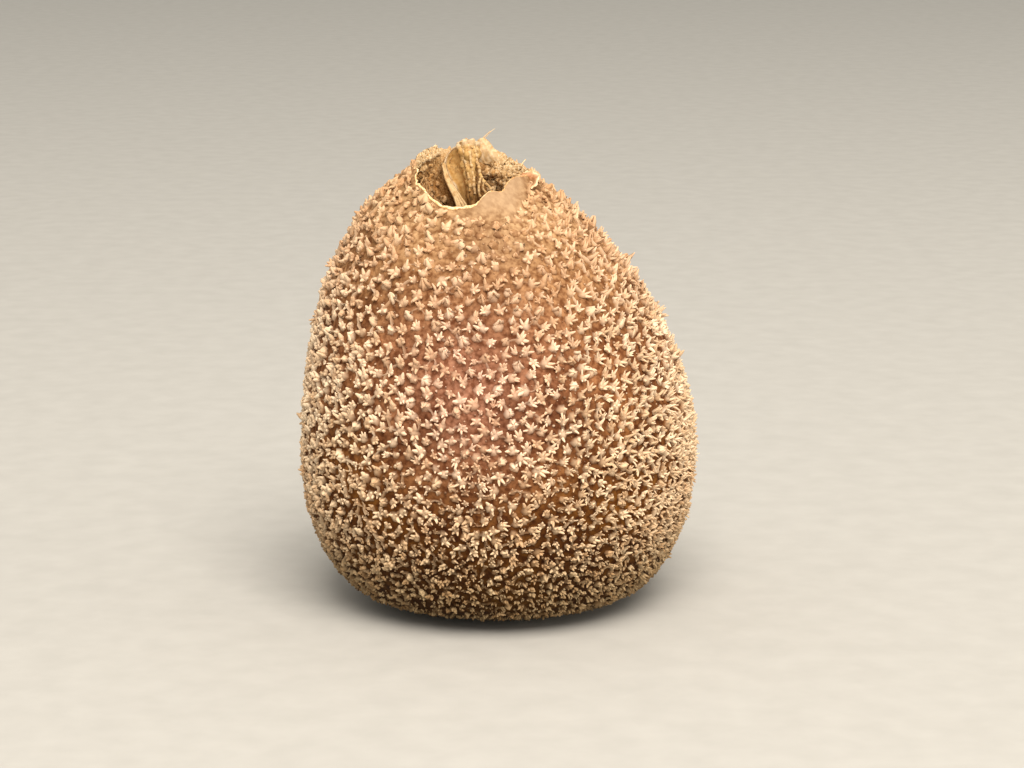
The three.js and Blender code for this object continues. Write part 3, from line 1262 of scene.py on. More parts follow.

# %% [markdown]
# ## The hollow
#
# Under the mouth the ripe spore mass has puffed away and left a hollow. Its wall is the inside of
# the skin, with the fine tangled threads that held the spores still on it, so it looks like brown
# cotton: pale at the rim, darker and dustier below, where the darker brown is partly painted shade.
# A volume could stand for the cotton, but it would render slowly and stay blurred. Here one matt
# material takes its brown and painted shade from how deep a place lies, and a painted highlight
# pales it where the cotton stands proud.

# %% The cotton's browns
# Darker towards the floor: partly spore dust, partly painted shade of the deep hollow.
COTTON_BY_DEPTH = [  # 0 at the rim and 1 on the floor
    (0.0, "#e3c79c"),
    (0.12, "#c59d69"),
    (0.35, "#a87c4b"),
    (0.7, "#7b532a"),
    (1.0, "#4f3010"),
]
# A painted highlight for the cotton's crests.
COTTON_CREST_LIGHT = "#ecd2aa"
COTTON_GRAIN = 0.12  # millimetres, far coarser than real threads, which would not show
print("the cotton has", len(COTTON_BY_DEPTH), "browns from the rim down")

# %% [markdown]
# Dried tissue is never of one even colour, because spores and dust cling to it in patches. A
# second material could be laid over the first for them. A layer that only darkens the colour
# under it is simpler, and it serves every finish in the hollow, each with its own size of patch
# and its own shade.

# %% Patches of spores and dust
def mottled(tree, colour, size, dark):
    """The colour, darkened in patches of about the given size in millimetres."""
    here, _ = surface_parts(tree)
    lumps = add(
        tree, "ShaderNodeTexNoise", {"Vector": here, "Scale": 1 / (size * MM), "Detail": 3.0}
    )
    patches = add(
        tree,
        "ShaderNodeValToRGB",
        {"Fac": lumps.outputs["Fac"]},
        stops=[(0.32, dark), (0.62, "#ffffff")],
    )
    mix = add(
        tree,
        "ShaderNodeMix",
        {MIX_SHARE: 1.0, MIX_FROM: colour, MIX_TO: patches.outputs["Color"]},
        data_type="RGBA",
        blend_type="MULTIPLY",
    )
    return mix.outputs[MIXED]


grain_scale = 1 / (COTTON_GRAIN * MM)
print("patches", COTTON_GRAIN, "mm wide need a noise of scale", round(grain_scale))

# %% [markdown]
# The threads are brown with spores, and paler where they stand up into the light. A bump could
# only shade them, not pale them. So the mesh says how deep each point lies and how proud it
# stands, and the two values mix the browns: painted shade with depth, and a painted highlight on
# the crests.

# %% The cotton's finish
# Tangled threads full of brown spores. They swallow the light, as felt does, whose roughness is
# nearly 1. Only the crests near the rim get a painted highlight that makes them pale and soft.
spore_cotton, tree = new_material("spore-dusted cotton threads")
deep = add(tree, "ShaderNodeAttribute", attribute_name="deep").outputs["Fac"]
by_depth = add(tree, "ShaderNodeValToRGB", {"Fac": deep}, stops=COTTON_BY_DEPTH)
crest = add(tree, "ShaderNodeAttribute", attribute_name="crest").outputs["Fac"]
crested = add(
    tree,
    "ShaderNodeMix",
    {MIX_SHARE: crest, MIX_FROM: by_depth.outputs["Color"], MIX_TO: COTTON_CREST_LIGHT},
    data_type="RGBA",
)
dusty = mottled(tree, crested.outputs[MIXED], COTTON_GRAIN, "#c4a87e")
finish_matt(tree, dusty, roughness=0.95, grain_size=COTTON_GRAIN, grain_depth=0.02)
print(spore_cotton.name, "has", len(tree.nodes), "nodes")

# %% [markdown]
# The torn edge, the inner membrane and the inside of the skin are dried tissue without spores,
# and are smoother than the cotton. They could share one colour, but in the light they differ:
# paper-pale where they are worn or torn, honey-brown where they are thin, and browner far down in
# the hollow, which is painted shade. On the membranes the pale value also carries painted
# highlights on raised pleats, ribs and creases, and the deep value painted shade in grooves and
# recesses. So the meshes say how pale and how deep each point is.

# %% The papery edge's finish
EDGE_COLOUR, WORN_EDGE_COLOUR = "#dcb07c", "#fbe2b6"
EDGE_MOTTLES = 0.15  # millimetres
EDGE_GRAIN = 0.08  # millimetres, far coarser than real fibres, which would not show

# Torn skin, thin as paper and about as rough, near 0.75: a bright, crisp line round the mouth.
papery_edge, tree = new_material("papery torn edge")
pale = add(tree, "ShaderNodeAttribute", attribute_name="pale").outputs["Fac"]
worn = add(
    tree,
    "ShaderNodeMix",
    {MIX_SHARE: pale, MIX_FROM: EDGE_COLOUR, MIX_TO: WORN_EDGE_COLOUR},
    data_type="RGBA",
)
papery = mottled(tree, worn.outputs[MIXED], EDGE_MOTTLES, "#e8c79c")
finish_matt(tree, papery, roughness=0.75, grain_size=EDGE_GRAIN, grain_depth=0.01)
print(papery_edge.name, "has", len(tree.nodes), "nodes")

# %% [markdown]
# The membrane that folds in the hollow has dried like parchment, and the leaf that has curled out
# of the rim shows the same tissue where it lined the skin. Each could have a material put
# together by itself, but only their two colours differ. So one function makes both, and is told
# the colours.

# %% The membranes' finishes
# Painted shade: membrane far down in the hollow, in grooves and in recesses is mixed towards it.
SHADED_DEEP_BROWN = "#74491a"  # of membrane far down in the hollow
MEMBRANE_GLOSS = 0.3  # a smooth dried film has a little more than the rest
MEMBRANE_MOTTLES = 0.3  # millimetres
MEMBRANE_GRAIN = 0.1  # millimetres, far coarser than real fibres, which would not show


def membrane_finish(name, thin, thick):
    """Dried membrane: one colour where thin, paler where thick or torn; painted light and shade."""
    material, tree = new_material(name)
    pale = add(tree, "ShaderNodeAttribute", attribute_name="pale").outputs["Fac"]
    by_thickness = add(
        tree,
        "ShaderNodeMix",
        {MIX_SHARE: pale, MIX_FROM: thin, MIX_TO: thick},
        data_type="RGBA",
    )
    deep = add(tree, "ShaderNodeAttribute", attribute_name="deep").outputs["Fac"]
    deepened = add(
        tree,
        "ShaderNodeMix",
        {MIX_SHARE: deep, MIX_FROM: by_thickness.outputs[MIXED], MIX_TO: SHADED_DEEP_BROWN},
        data_type="RGBA",
    )
    colour = mottled(tree, deepened.outputs[MIXED], MEMBRANE_MOTTLES, "#d8c5aa")
    finish_matt(
        tree,
        colour,
        roughness=0.7,
        grain_size=MEMBRANE_GRAIN,
        grain_depth=0.012,
        gloss=MEMBRANE_GLOSS,
    )
    return material


# Like parchment, dried in folds: honey-coloured, and with a faint gloss that rounds the folds.
# Parchment has a roughness of about 0.6, and the spore dust on it makes that 0.7.
membrane = membrane_finish("dried inner membrane", "#d2aa6a", "#d2b996")
# The same tissue where it lined the skin: pinker, so that the curled leaf stands out.
pink_inside = membrane_finish("pinkish inside of the skin", "#c8976f", "#f2d8b0")
print("finishes:", [finish.name for finish in (membrane, pink_inside)])

# %% [markdown]
# The wall of the hollow is one net, like the skin's, that runs from the rim down to the floor. At
# the front it follows the thin skin. At the back a thick pad of cotton fills the space under the
# crown, with a cave in it where a clot of spores has fallen out. A Boolean cut would leave a
# smooth wall that knows nothing of rim or depth. A formula gives both for each point, and later
# pieces use it too.

# %% The hollow's wall
HOLLOW_FLOOR = 21.9  # its height in millimetres
HOLLOW_MIDDLE = np.array([-1.8, -0.8, 27.5])  # cotton bulges towards it
EDGE_THICKNESS = 0.13
CAVE_TURN, CAVE_DEPTH = 53, 0.6  # degrees and millimetres
COTTON_LEAN = 0.24  # how much the cotton at the back thickens with each millimetre down
# The darkest brown is partly painted shade of the deep hollow.
DARKEST_BELOW = 6.5  # how far below the rim the cotton has its darkest brown


def hollow_points(turn, share):
    """The wall's smooth form, and how far it lies below the rim. share is 1 at the floor's middle.

    At the front the wall follows the thin skin. At the back cotton fills the space under the
    crown, so that there the wall leans inwards as it goes down."""
    rim = ragged_rim(turn)
    quarter = share * np.pi / 2
    depth = np.sin(quarter)
    below = (rim - HOLLOW_FLOOR) * depth
    height = rim - below
    lowered = body_radius(height + 0.5 * ease(below / 1.5))
    thin = lowered - EDGE_THICKNESS - 0.15 * ease(below / 2.0) - 0.6 * ease(depth)
    cotton = body_radius(rim) - EDGE_THICKNESS - COTTON_LEAN * below
    back = ease((np.sin(turn) + 0.25) / 0.5)
    radius = thin + (np.minimum(cotton, thin) - thin) * back
    return place(turn, radius * np.sqrt(np.maximum(np.cos(quarter), 0)), height), below


def behind_fold(turn):
    """1 where the folded membrane and the peak's lining hide the wall, and 0 elsewhere."""
    return np.exp(-((turn_between(turn, 92) / 42) ** 4))


def cave_at(turn, below):
    """A cave in the cotton at the back right, where a clot of spores has fallen out: 0 to 1."""
    side = np.exp(-((turn_between(turn, CAVE_TURN) / 15) ** 4))
    return side * ease((below - 1.2) / 0.5) * (1 - ease((below - 3.2) / 1.0))


print("the hollow is", round(float(rim_height(FRONT)) - HOLLOW_FLOOR, 1), "mm deep at the front")

# %% [markdown]
# Noise of three sizes then pushes the wall inwards to make the tufts of the cotton. A Displace
# modifier would push it straight out everywhere. Here the tufts can fade out at the rim, and
# behind the folds that hide the wall. The crests of the tufts are paler, because the light
# reaches them.

# %% The cottony lining of the hollow
WALL_ROWS, WALL_COLUMNS = 84, 310
ring = np.linspace(0, 2 * np.pi, WALL_COLUMNS, endpoint=False)
share = (np.sin(np.linspace(0, np.pi / 2, WALL_ROWS)) ** 1.3 * 0.99999)[:, None]
turns = np.broadcast_to(ring, (WALL_ROWS, WALL_COLUMNS))
wall, below = hollow_points(turns, share)
coarse = noise_at(wall, 1.0, 2.0)
middling = noise_at(wall, 0.42, 7.0)
fine = noise_at(wall, 0.16, 4.0, 2)
tufts = 0.45 * (coarse + 0.25) + 0.2 * middling + 0.045 * fine
tufts *= 1 - 0.75 * behind_fold(turns)
cave = cave_at(turns, below)
tufts = np.maximum(tufts * ease(below / 0.8), -0.25 * ease(below / 3.0))
wall = wall + unit(HOLLOW_MIDDLE - wall) * (tufts - CAVE_DEPTH * cave)[..., None]
# A painted highlight on the raised tufts, which fades down the wall into painted shade.
crest = np.clip(0.08 + 0.8 * middling + 0.35 * coarse + 0.15 * fine, 0, 1)
crest = crest * np.exp(-below / 2.2)  # the crests darken on the way down
# Painted shade: the wall browns with depth, and more in the cave, whose crests stay unlit.
make_piece(
    "hollow",
    wall.reshape(-1, 3),
    net_faces(WALL_ROWS, WALL_COLUMNS)[:, ::-1],
    spore_cotton,
    deep=np.clip(below / DARKEST_BELOW + 0.15 * cave, 0, 1),
    crest=crest * (1 - cave),
)

# %% [markdown]
# The skin ends in a papery torn edge. At the front it is worn smooth and turned out into a small
# pale lip, and at the back it is thin and ragged. A Solidify modifier would give it the same
# thickness all round. A narrow band with a rounded section, swept round the rim, can be thicker
# at the lip and waver elsewhere.

# %% The torn edge
EDGE_COLUMNS, EDGE_STEPS = 640, 7  # round the rim, and over the edge
EDGE_HALF, LIP_HALF = 0.035, 0.075  # half the edge's thickness, and what the lip adds to it
ring = np.linspace(0, 2 * np.pi, EDGE_COLUMNS, endpoint=False)
lip = np.exp(-((turn_between(ring, -105) / 26) ** 2))
rim = ragged_rim(ring)
wavering = noise_at(np.stack([np.cos(ring), np.sin(ring), 0 * ring], -1), 0.08, 4.0)
half = (EDGE_HALF + LIP_HALF * lip) * (1 + 0.7 * wavering)
around = np.linspace(-0.6, np.pi + 0.3, EDGE_STEPS)[:, None]
radius = body_radius(rim) - EDGE_THICKNESS / 2 + half * 1.25 * np.cos(around) + 0.05 * lip
height = rim + half * np.sin(around) - 0.02 + 0.03 * wavering
torn_edge = place(np.broadcast_to(ring, radius.shape), radius, height)
worn_share = np.exp(-((turn_between(ring, -125) / 60) ** 4))
make_piece(
    "torn_edge",
    torn_edge.reshape(-1, 3),
    net_faces(EDGE_STEPS, EDGE_COLUMNS),
    papery_edge,
    pale=np.broadcast_to(worn_share, radius.shape),
)
print("the edge is", round(2 * half.min(), 2), "to", round(2 * half.max(), 2), "mm thick")

# %% [markdown]
# ## Folds of tissue in the hollow
#
# Tissue 0.1 mm thick folds like cloth. A cloth simulation would fold it too, but not into the
# form that this membrane has. So each sheet is drawn from a few outlines, given in millimetres,
# that a smooth net is passed through.

# %% Nets through given outlines
def curve_through(points, places):
    """Points of a smooth curve through the given points, at places from 0 to 1."""
    points = np.asarray(points, dtype=float)
    last = len(points) - 1
    at = np.clip(np.asarray(places) * last, 0, last - 1e-9)
    low = at.astype(int)
    t = (at - low).reshape((-1,) + (1,) * (points.ndim - 1))
    p0 = points[np.maximum(low - 1, 0)]
    p1 = points[low]
    p2 = points[low + 1]
    p3 = points[np.minimum(low + 2, last)]
    bend = (2 * p0 - 5 * p1 + 4 * p2 - p3) * t + (3 * p1 - p0 - 3 * p2 + p3) * t * t
    return 0.5 * (2 * p1 + (p2 - p0) * t + bend * t)


def net_through(outlines, rows, columns):
    """A smooth net of points through a few outlines, which may differ in how they bend."""
    across = np.stack([curve_through(o, np.linspace(0, 1, columns)) for o in outlines])
    return curve_through(across, np.linspace(0, 1, rows))


def net_facing(net):
    """The direction that each point of a net faces."""
    return unit(np.cross(np.gradient(net, axis=1), np.gradient(net, axis=0)))


def net_shares(net):
    """How far each point of a net is across it and down it, from 0 to 1."""
    rows, columns = net.shape[:2]
    down, across = np.meshgrid(np.linspace(0, 1, rows), np.linspace(0, 1, columns), indexing="ij")
    return across, down


top = curve_through([(0, 0), (1, 2), (2, 0)], [0.5])[0]
print("half-way, the curve through three points is at the second:", top.tolist())

# %% [markdown]
# A net has no thickness, and seen from its edge it would vanish, as no real tissue does. A
# Solidify modifier would thicken it, but the values for its points would have to come through as
# well. So the sheet is closed here: the net, the same net again a little further back, and a
# strip round the border.

# %% Thick sheets
def thick_sheet(name, net, thickness, material, **values):
    """A closed sheet: the net, a second net behind it, and a border between them."""
    rows, columns = net.shape[:2]
    back = net - net_facing(net) * thickness
    front_faces = net_faces(rows, columns, closed=False)
    size = rows * columns
    index = np.arange(size).reshape(rows, columns)
    border = np.concatenate([index[0], index[1:, -1], index[-1, -2::-1], index[-2:0:-1, 0]])
    after = np.roll(border, -1)
    strip = np.stack([border, border + size, after + size, after], axis=-1)
    faces = np.concatenate([front_faces, front_faces[:, ::-1] + size, strip])
    doubled = {key: np.tile(value.ravel(), 2) for key, value in values.items()}
    points = np.concatenate([net.reshape(-1, 3), back.reshape(-1, 3)])
    make_piece(name, points, faces, material, **doubled)


MEMBRANE_THICKNESS = 0.1
print("the folds are", MEMBRANE_THICKNESS, "mm thick")

# %% [markdown]
# A membrane once ran through the spore mass, and a torn piece of it still hangs from the peak of
# the rim. It bellies back into a smooth, honey-coloured pocket on the left, and then comes
# forward in a narrow, pleated ridge. Both come out of the outlines. Pleats and lumps as fine as
# those on the ridge would take too many outlines, so a cosine and noise push them out of the net
# instead.

# %% The folded membrane
FOLD_OUTLINES = [  # from the strap's side round the pocket, and then over the ridge
    [(-3.15, 2.85, 29.95), (-2.95, 2.95, 30.1), (-2.75, 3.0, 30.15), (-2.68, 2.8, 30.25)]
    + [(-2.72, 2.45, 30.4), (-2.35, 2.3, 30.65), (-1.75, 2.45, 30.65), (-1.3, 3.0, 30.4)],
    [(-3.43, 2.8, 29.58), (-3.15, 2.98, 29.62), (-2.7, 3.05, 29.65), (-2.38, 2.85, 29.65)]
    + [(-2.48, 2.25, 29.7), (-2.1, 1.95, 29.72), (-1.6, 2.1, 29.72), (-1.3, 2.9, 29.6)],
    [(-3.6, 2.45, 28.95), (-3.3, 2.9, 28.9), (-2.75, 3.0, 28.9), (-2.25, 2.7, 28.95)]
    + [(-2.3, 2.1, 29.0), (-1.95, 1.8, 29.0), (-1.65, 1.95, 29.0), (-1.5, 2.6, 28.9)],
    [(-3.2, 1.85, 28.0), (-2.95, 2.45, 28.0), (-2.55, 2.65, 28.0), (-2.1, 2.4, 28.05)]
    + [(-2.15, 1.8, 28.1), (-1.9, 1.5, 28.1), (-1.7, 1.65, 28.05), (-1.6, 2.3, 28.0)],
    [(-2.7, 1.3, 27.05), (-2.5, 1.85, 27.05), (-2.25, 2.05, 27.0), (-1.95, 1.9, 27.05)]
    + [(-1.95, 1.45, 27.1), (-1.75, 1.25, 27.1), (-1.6, 1.4, 27.05), (-1.5, 2.1, 27.0)],
    [(-2.0, 0.75, 22.0), (-1.85, 1.3, 22.0), (-1.65, 1.5, 22.0), (-1.5, 1.4, 22.0)]
    + [(-1.45, 1.1, 22.0), (-1.3, 1.0, 22.0), (-1.15, 1.2, 22.0), (-1.05, 1.9, 22.0)],
]
FOLD_ROWS, FOLD_COLUMNS = 92, 74
PLEATS = 9  # as many as would fit across the whole sheet
fold = net_through(FOLD_OUTLINES, FOLD_ROWS, FOLD_COLUMNS)
across, down = net_shares(fold)
on_ridge = ease((across - 0.5) / 0.1)
pleats = np.cos(across * 2 * np.pi * PLEATS + 2.0 * noise_at(fold, 1.2, 4.0))
lumps = noise_at(fold * [1, 1, 0.6], 0.28, 6.0)  # longer upright than across
push = on_ridge * (0.08 * pleats + 0.16 * lumps) + 0.015 * lumps
fold = fold + net_facing(fold) * push[..., None]
# Painted highlight on the ridge's raised pleats and lumps; the strap's side and torn top are paler
# tissue.
pale = np.clip(on_ridge * (0.3 + 0.35 * pleats + 0.5 * lumps), 0, 1)
pale = np.maximum(pale, ease((0.1 - across) / 0.08))  # along the strap
pale = np.maximum(pale, ease((0.13 - down) / 0.08))  # along the torn top
# Darker lower down the hollow and in the ridge's grooves: painted shade.
deep = np.clip((28.9 - fold[..., 2]) / 3.5, 0, 1) * np.where(across < 0.1, 0.3, 1.0)
deep = np.clip(deep + 0.3 * on_ridge * ease(-pleats - lumps) * (down > 0.15), 0, 1)
thick_sheet("folded_membrane", fold, MEMBRANE_THICKNESS, membrane, pale=pale, deep=deep)

# %% [markdown]
# The strap is the membrane's thickened border: a flat ribbon with fine grooves along it and a
# knob at its top. A curve with a flat bevel would give a ribbon of one width. Here a list of
# widths lets it swell and narrow on its way down, and a cosine across it cuts the grooves.

# %% The strap
STRAP_LINE = [  # from the knob down to the floor of the hollow
    (-3.65, 2.2, 29.1),
    (-3.42, 1.72, 28.25),
    (-3.08, 1.28, 27.6),
    (-2.65, 0.88, 26.9),
    (-2.3, 0.6, 26.1),
    (-1.95, 0.5, 24.4),
    (-1.85, 0.5, 22.0),
]
STRAP_ROWS, STRAP_COLUMNS = 110, 15
STRAP_PLACES = [0, 0.03, 0.07, 0.3, 0.5, 0.66, 1]  # along it, and its width at each
STRAP_WIDTHS = [0.22, 0.42, 0.36, 0.46, 0.6, 0.85, 0.7]
STRAP_THICKNESS = 0.16
GROOVES = 3.2  # across its width
line = curve_through(STRAP_LINE, np.linspace(0, 1, STRAP_ROWS))
along = unit(np.gradient(line, axis=0))
rightward = np.array([1.0, 0.1, 0.0])
aside = unit(rightward - along * (along @ rightward)[:, None])
width = np.interp(np.linspace(0, 1, STRAP_ROWS), STRAP_PLACES, STRAP_WIDTHS)
reach = np.linspace(-0.5, 0.5, STRAP_COLUMNS)
strap = line[:, None] + aside[:, None] * (reach[None, :] * width[:, None])[..., None]
grooves = np.cos(reach * 2 * np.pi * GROOVES)
relief = 0.025 * grooves - 0.08 * (2 * reach) ** 2 + 0.03 * noise_at(strap, 0.4, 8.0)
strap = strap + net_facing(strap) * relief[..., None]
# Painted highlight on the ribs between the grooves, and painted shade lower down.
pale = np.broadcast_to(np.clip(0.75 + 0.3 * grooves, 0, 1), strap.shape[:2])
deep = np.clip((27.0 - strap[..., 2]) / 6, 0, 1)
thick_sheet("strap", strap, STRAP_THICKNESS, membrane, pale=pale, deep=deep)

# %% [markdown]
# Right of the ridge the peak of the rim is lined with a smooth, pale sheet that is finely creased
# on a slant. It could be a part of the hollow's wall, but the wall is cotton, and the two would
# blur together. As a sheet of its own it has a crisp, ragged border.

# %% The lining of the peak
PEAK_OUTLINES = [  # from the top down, each from the ridge to the right
    [(-1.4, 3.4, 30.4), (-1.1, 3.4, 30.6), (-0.7, 3.3, 30.4)]
    + [(-0.2, 3.1, 29.9), (0.25, 2.9, 29.6), (0.65, 2.65, 29.3)],
    [(-1.4, 3.0, 29.9), (-1.05, 3.0, 29.9), (-0.75, 2.9, 29.85)]
    + [(-0.35, 2.75, 29.55), (0.05, 2.6, 29.3), (0.45, 2.4, 29.1)],
    [(-1.35, 3.0, 29.1), (-1.1, 3.0, 29.05), (-0.85, 2.95, 29.0)]
    + [(-0.45, 2.8, 28.95), (-0.05, 2.65, 28.85), (0.25, 2.55, 28.8)],
]
PEAK_ROWS, PEAK_COLUMNS = 50, 70
peak = net_through(PEAK_OUTLINES, PEAK_ROWS, PEAK_COLUMNS)
across, down = net_shares(peak)
# Four creases across and three down make them slant.
creases = np.cos(2 * np.pi * (4 * across - 3.0 * down) + 0.8 * noise_at(peak, 0.8, 2.0))
border = ease(np.minimum(1 - across, 1 - down) / 0.2)
rough = noise_at(peak, 0.25, 3.0)
relief = 0.01 * creases * border + 0.045 * rough * (1.05 - border)
peak = peak + net_facing(peak) * relief[..., None]
# Painted highlight on the creases, and painted shade in the rough border's dips.
pale = np.clip(0.8 + 0.12 * creases - 0.2 * (1 - border) * (rough < 0), 0, 1)
thick_sheet("peak_lining", peak, MEMBRANE_THICKNESS, membrane, pale=pale, deep=0 * pale)

# %% [markdown]
# On the far right a leaf of the torn rim has curled up, and shows its pinkish inside. Bending the
# skin itself there would stretch its net. A small sheet that starts at the rim and turns over
# hides the join.

# %% The curled leaf of the rim
CURL_OUTLINES = [  # from the rim up to the leaf's free border
    [(1.3, -2.2, 28.6), (1.6, -2.3, 28.45), (1.9, -2.45, 28.3), (2.2, -2.75, 28.1)],
    [(1.5, -1.95, 28.85), (1.85, -1.75, 28.65), (2.2, -1.85, 28.5), (2.5, -2.5, 28.4)],
    [(1.68, -1.7, 29.05), (2.05, -1.55, 29.1), (2.45, -1.65, 29.02), (2.72, -2.0, 28.93)],
]
CURL_ROWS, CURL_COLUMNS = 26, 30
curl = net_through(CURL_OUTLINES, CURL_ROWS, CURL_COLUMNS)
across, down = net_shares(curl)
rough = noise_at(curl, 0.3, 7.0)
curl = curl + net_facing(curl) * (0.07 * rough)[..., None]
curl[..., 2] += 0.08 * down * noise_at(curl, 0.15, 1.0)
# The free border is paler tissue; the recess is painted shade inside the curl.
edge_share = np.maximum(ease((down - 0.8) / 0.15), ease((across - 0.85) / 0.1))
recess_shade = np.exp(-(((across - 0.68) / 0.17) ** 2) - ((down - 0.4) / 0.25) ** 2)
thick_sheet("curled_leaf", curl, MEMBRANE_THICKNESS, pink_inside, pale=edge_share, deep=recess_shade)

# %% [markdown]
# ## Cords, threads and hairs
#
# All of these are thin round strings. Blender's curves with a round bevel would draw them, but a
# mesh can carry the values that the materials read. A tube is a row of rings along a line, closed
# at both ends, with its own radius at each ring.

# %% Tubes along lines
def tube(line, radius, sides=7):
    """Points and faces of a tube with closed ends, along one line."""
    along = unit(np.gradient(line, axis=0))
    first = unit(np.cross(along, np.array([0.31, 0.87, 0.2])))
    second = np.cross(along, first)
    angle = np.arange(sides) * 2 * np.pi / sides
    ring = first[:, None] * np.cos(angle)[:, None] + second[:, None] * np.sin(angle)[:, None]
    points = line[:, None] + ring * radius[:, None, None]
    tips = np.stack([line[0] - along[0] * radius[0] / 2, line[-1] + along[-1] * radius[-1] / 2])
    size = len(line) * sides
    step = np.arange(sides)
    after = (step + 1) % sides
    start_cap = np.stack([after, step, 0 * step + size], axis=-1)
    last = size - sides
    end_cap = np.stack([last + step, last + after, 0 * step + size + 1], axis=-1)
    faces = np.concatenate([halved(net_faces(len(line), sides)), start_cap, end_cap])
    return np.concatenate([points.reshape(-1, 3), tips]), faces


def join(parts):
    """One list of points and one of faces from several."""
    points, faces, base = [], [], 0
    for part_points, part_faces in parts:
        points.append(part_points)
        faces.append(part_faces + base)
        base += len(part_points)
    return np.concatenate(points), np.concatenate(faces)


straight = np.linspace([0, 0, 0], [0, 0, 1.0], 5)
print("a tube of 5 rings has", len(tube(straight, np.full(5, 0.1))[1]), "triangles")

# %% [markdown]
# Beaded cords run down the ridge of the membrane. Each is a tube along a wavering line. Separate
# beads would look like a necklace. Noise along the line makes the radius swell and shrink
# instead, so that the cord catches the light in dots.

# %% The beaded cords
CORDS = [  # each a radius and a line down the ridge
    (0.09, [(-2.3, 2.0, 30.1), (-2.15, 1.85, 29.45), (-2.1, 1.7, 28.9)]
        + [(-1.9, 1.35, 28.2), (-1.85, 1.1, 27.4)]),
    (0.10, [(-1.95, 1.95, 30.1), (-1.8, 1.75, 29.4), (-1.7, 1.65, 28.75)]
        + [(-1.6, 1.35, 27.95), (-1.55, 1.1, 27.2)]),
    (0.13, [(-1.55, 2.1, 29.5), (-1.35, 1.95, 29.15), (-1.2, 1.85, 28.6), (-1.05, 1.7, 28.2)]),
    (0.12, [(-1.05, 1.7, 28.2), (-0.85, 1.6, 27.85), (-0.58, 1.5, 27.6)]
        + [(-0.4, 1.35, 27.3), (-0.35, 1.3, 26.6)]),
    (0.09, [(-1.12, 1.75, 28.3), (-1.25, 1.55, 27.8), (-1.25, 1.35, 27.4), (-1.15, 1.2, 27.0)]),
    (0.08, [(-0.9, 1.6, 27.95), (-1.0, 1.4, 27.55), (-0.8, 1.2, 27.25), (-0.75, 1.15, 26.8)]),
    (0.12, [(-2.45, 2.25, 30.5), (-2.3, 2.1, 30.15), (-1.95, 2.0, 29.9), (-1.75, 2.05, 30.2)]),
    (0.10, [(-1.6, 2.3, 30.4), (-1.5, 2.1, 29.9), (-1.45, 2.1, 29.4)]),
]
CORD_STEPS = 80
THINNEST_BEAD, THICKEST_BEAD = 0.55, 1.6  # as shares of the cord's radius
parts = []
for number, (radius, route) in enumerate(CORDS):
    line = curve_through(route, np.linspace(0, 1, CORD_STEPS))
    line = line + 0.07 * np.stack([noise_at(line, 0.5, 10.0 * number + k) for k in range(3)], -1)
    beads = 1 + 0.6 * noise_at(line, 0.2, 90.0 * number, 2)
    parts.append(tube(line, radius * np.clip(beads, THINNEST_BEAD, THICKEST_BEAD)))
points, faces = join(parts)
# Painted shade lower down the ridge; the pale noise is the cords' own tone.
deep = np.clip((28.6 - points[:, 2]) / 4.0, 0, 1)
pale = np.clip(0.4 + 0.5 * noise_at(points, 0.3, 6.0, 2), 0, 1)
make_piece("beaded_cords", points, faces, membrane, pale=pale, deep=deep)

# %% [markdown]
# The cotton breaks up into small clumps, which get a painted highlight where they reach the rim.
# They could be left to the noise of the wall, but noise never overhangs, and a clump does. So each
# clump is a mound like the warts', with its points pushed about by chance until it is rough.

# %% A group of clumps
CLUMP_SIDES = 8


def clumps_on(turn, share, size, painted_light):
    """Rough clumps on the hollow's wall, as points, faces and their two colour values."""
    root, below = hollow_points(turn, share)
    inward = unit(HOLLOW_MIDDLE - root)
    side = unit(np.cross(inward, np.array([0.0, 0.0, 1.0])))
    up = np.cross(side, inward)
    proud = 0.25 * ease(below / 0.8) - CAVE_DEPTH * cave_at(turn, below)
    root = root + inward * proud[:, None]
    points, squares, cap, _ = mounds(
        root, inward, side, up, size, size * 0.8, sides=CLUMP_SIDES
    )
    points = points + 0.15 * size[:, None, None] * chance.normal(0, 1, points.shape)
    squares, triangles = join_copies(points, squares, cap)
    each = points.shape[1]
    # Painted shade with depth, and the given painted highlight on each clump.
    deep = np.repeat(np.clip(below / DARKEST_BELOW, 0, 1), each)
    faces = np.concatenate([halved(squares), triangles])
    return points.reshape(-1, 3), faces, deep, np.repeat(painted_light, each)


print("a clump has", CLUMP_SIDES, "sides")

# %% [markdown]
# There are clumps with a painted highlight along the right of the rim and at the peak, and duller
# ones in painted shade lower down. They could be placed one by one, but no eye would know them
# again. A group is told by its limits instead: how many, in which directions, how far down the
# wall, how large and how much painted highlight it has.

# %% Clumps of cotton
# The brightness is each clump's painted highlight; low values leave it in painted shade.
CLUMP_GROUPS = [  # number, then lowest and highest direction, share down the wall, size, brightness
    (90, (134, 205), (0.03, 0.42), (0.1, 0.26), (0.0, 0.35)),
    (200, (0, 64), (0.03, 0.2), (0.12, 0.3), (0.05, 0.75)),
    (190, (4, 56), (0.0, 0.06), (0.1, 0.24), (0.5, 1.0)),
    (70, (134, 182), (0.0, 0.03), (0.12, 0.3), (0.6, 1.0)),
    (60, (182, 215), (0.0, 0.08), (0.08, 0.2), (0.2, 0.7)),
    (40, (84, 112), (0.0, 0.03), (0.08, 0.18), (0.9, 1.0)),
]
groups = []
for number, turn_range, share_range, size_range, painted_light_range in CLUMP_GROUPS:
    turn = np.radians(between(*turn_range, number))
    share = between(*share_range, number)
    size = between(*size_range, number)
    groups.append(clumps_on(turn, share, size, between(*painted_light_range, number)))
points, faces = join([group[:2] for group in groups])
make_piece(
    "cotton_clumps",
    points,
    faces,
    spore_cotton,
    deep=np.concatenate([group[2] for group in groups]),
    crest=np.concatenate([group[3] for group in groups]),
)
print(sum(group[0] for group in CLUMP_GROUPS), "clumps")

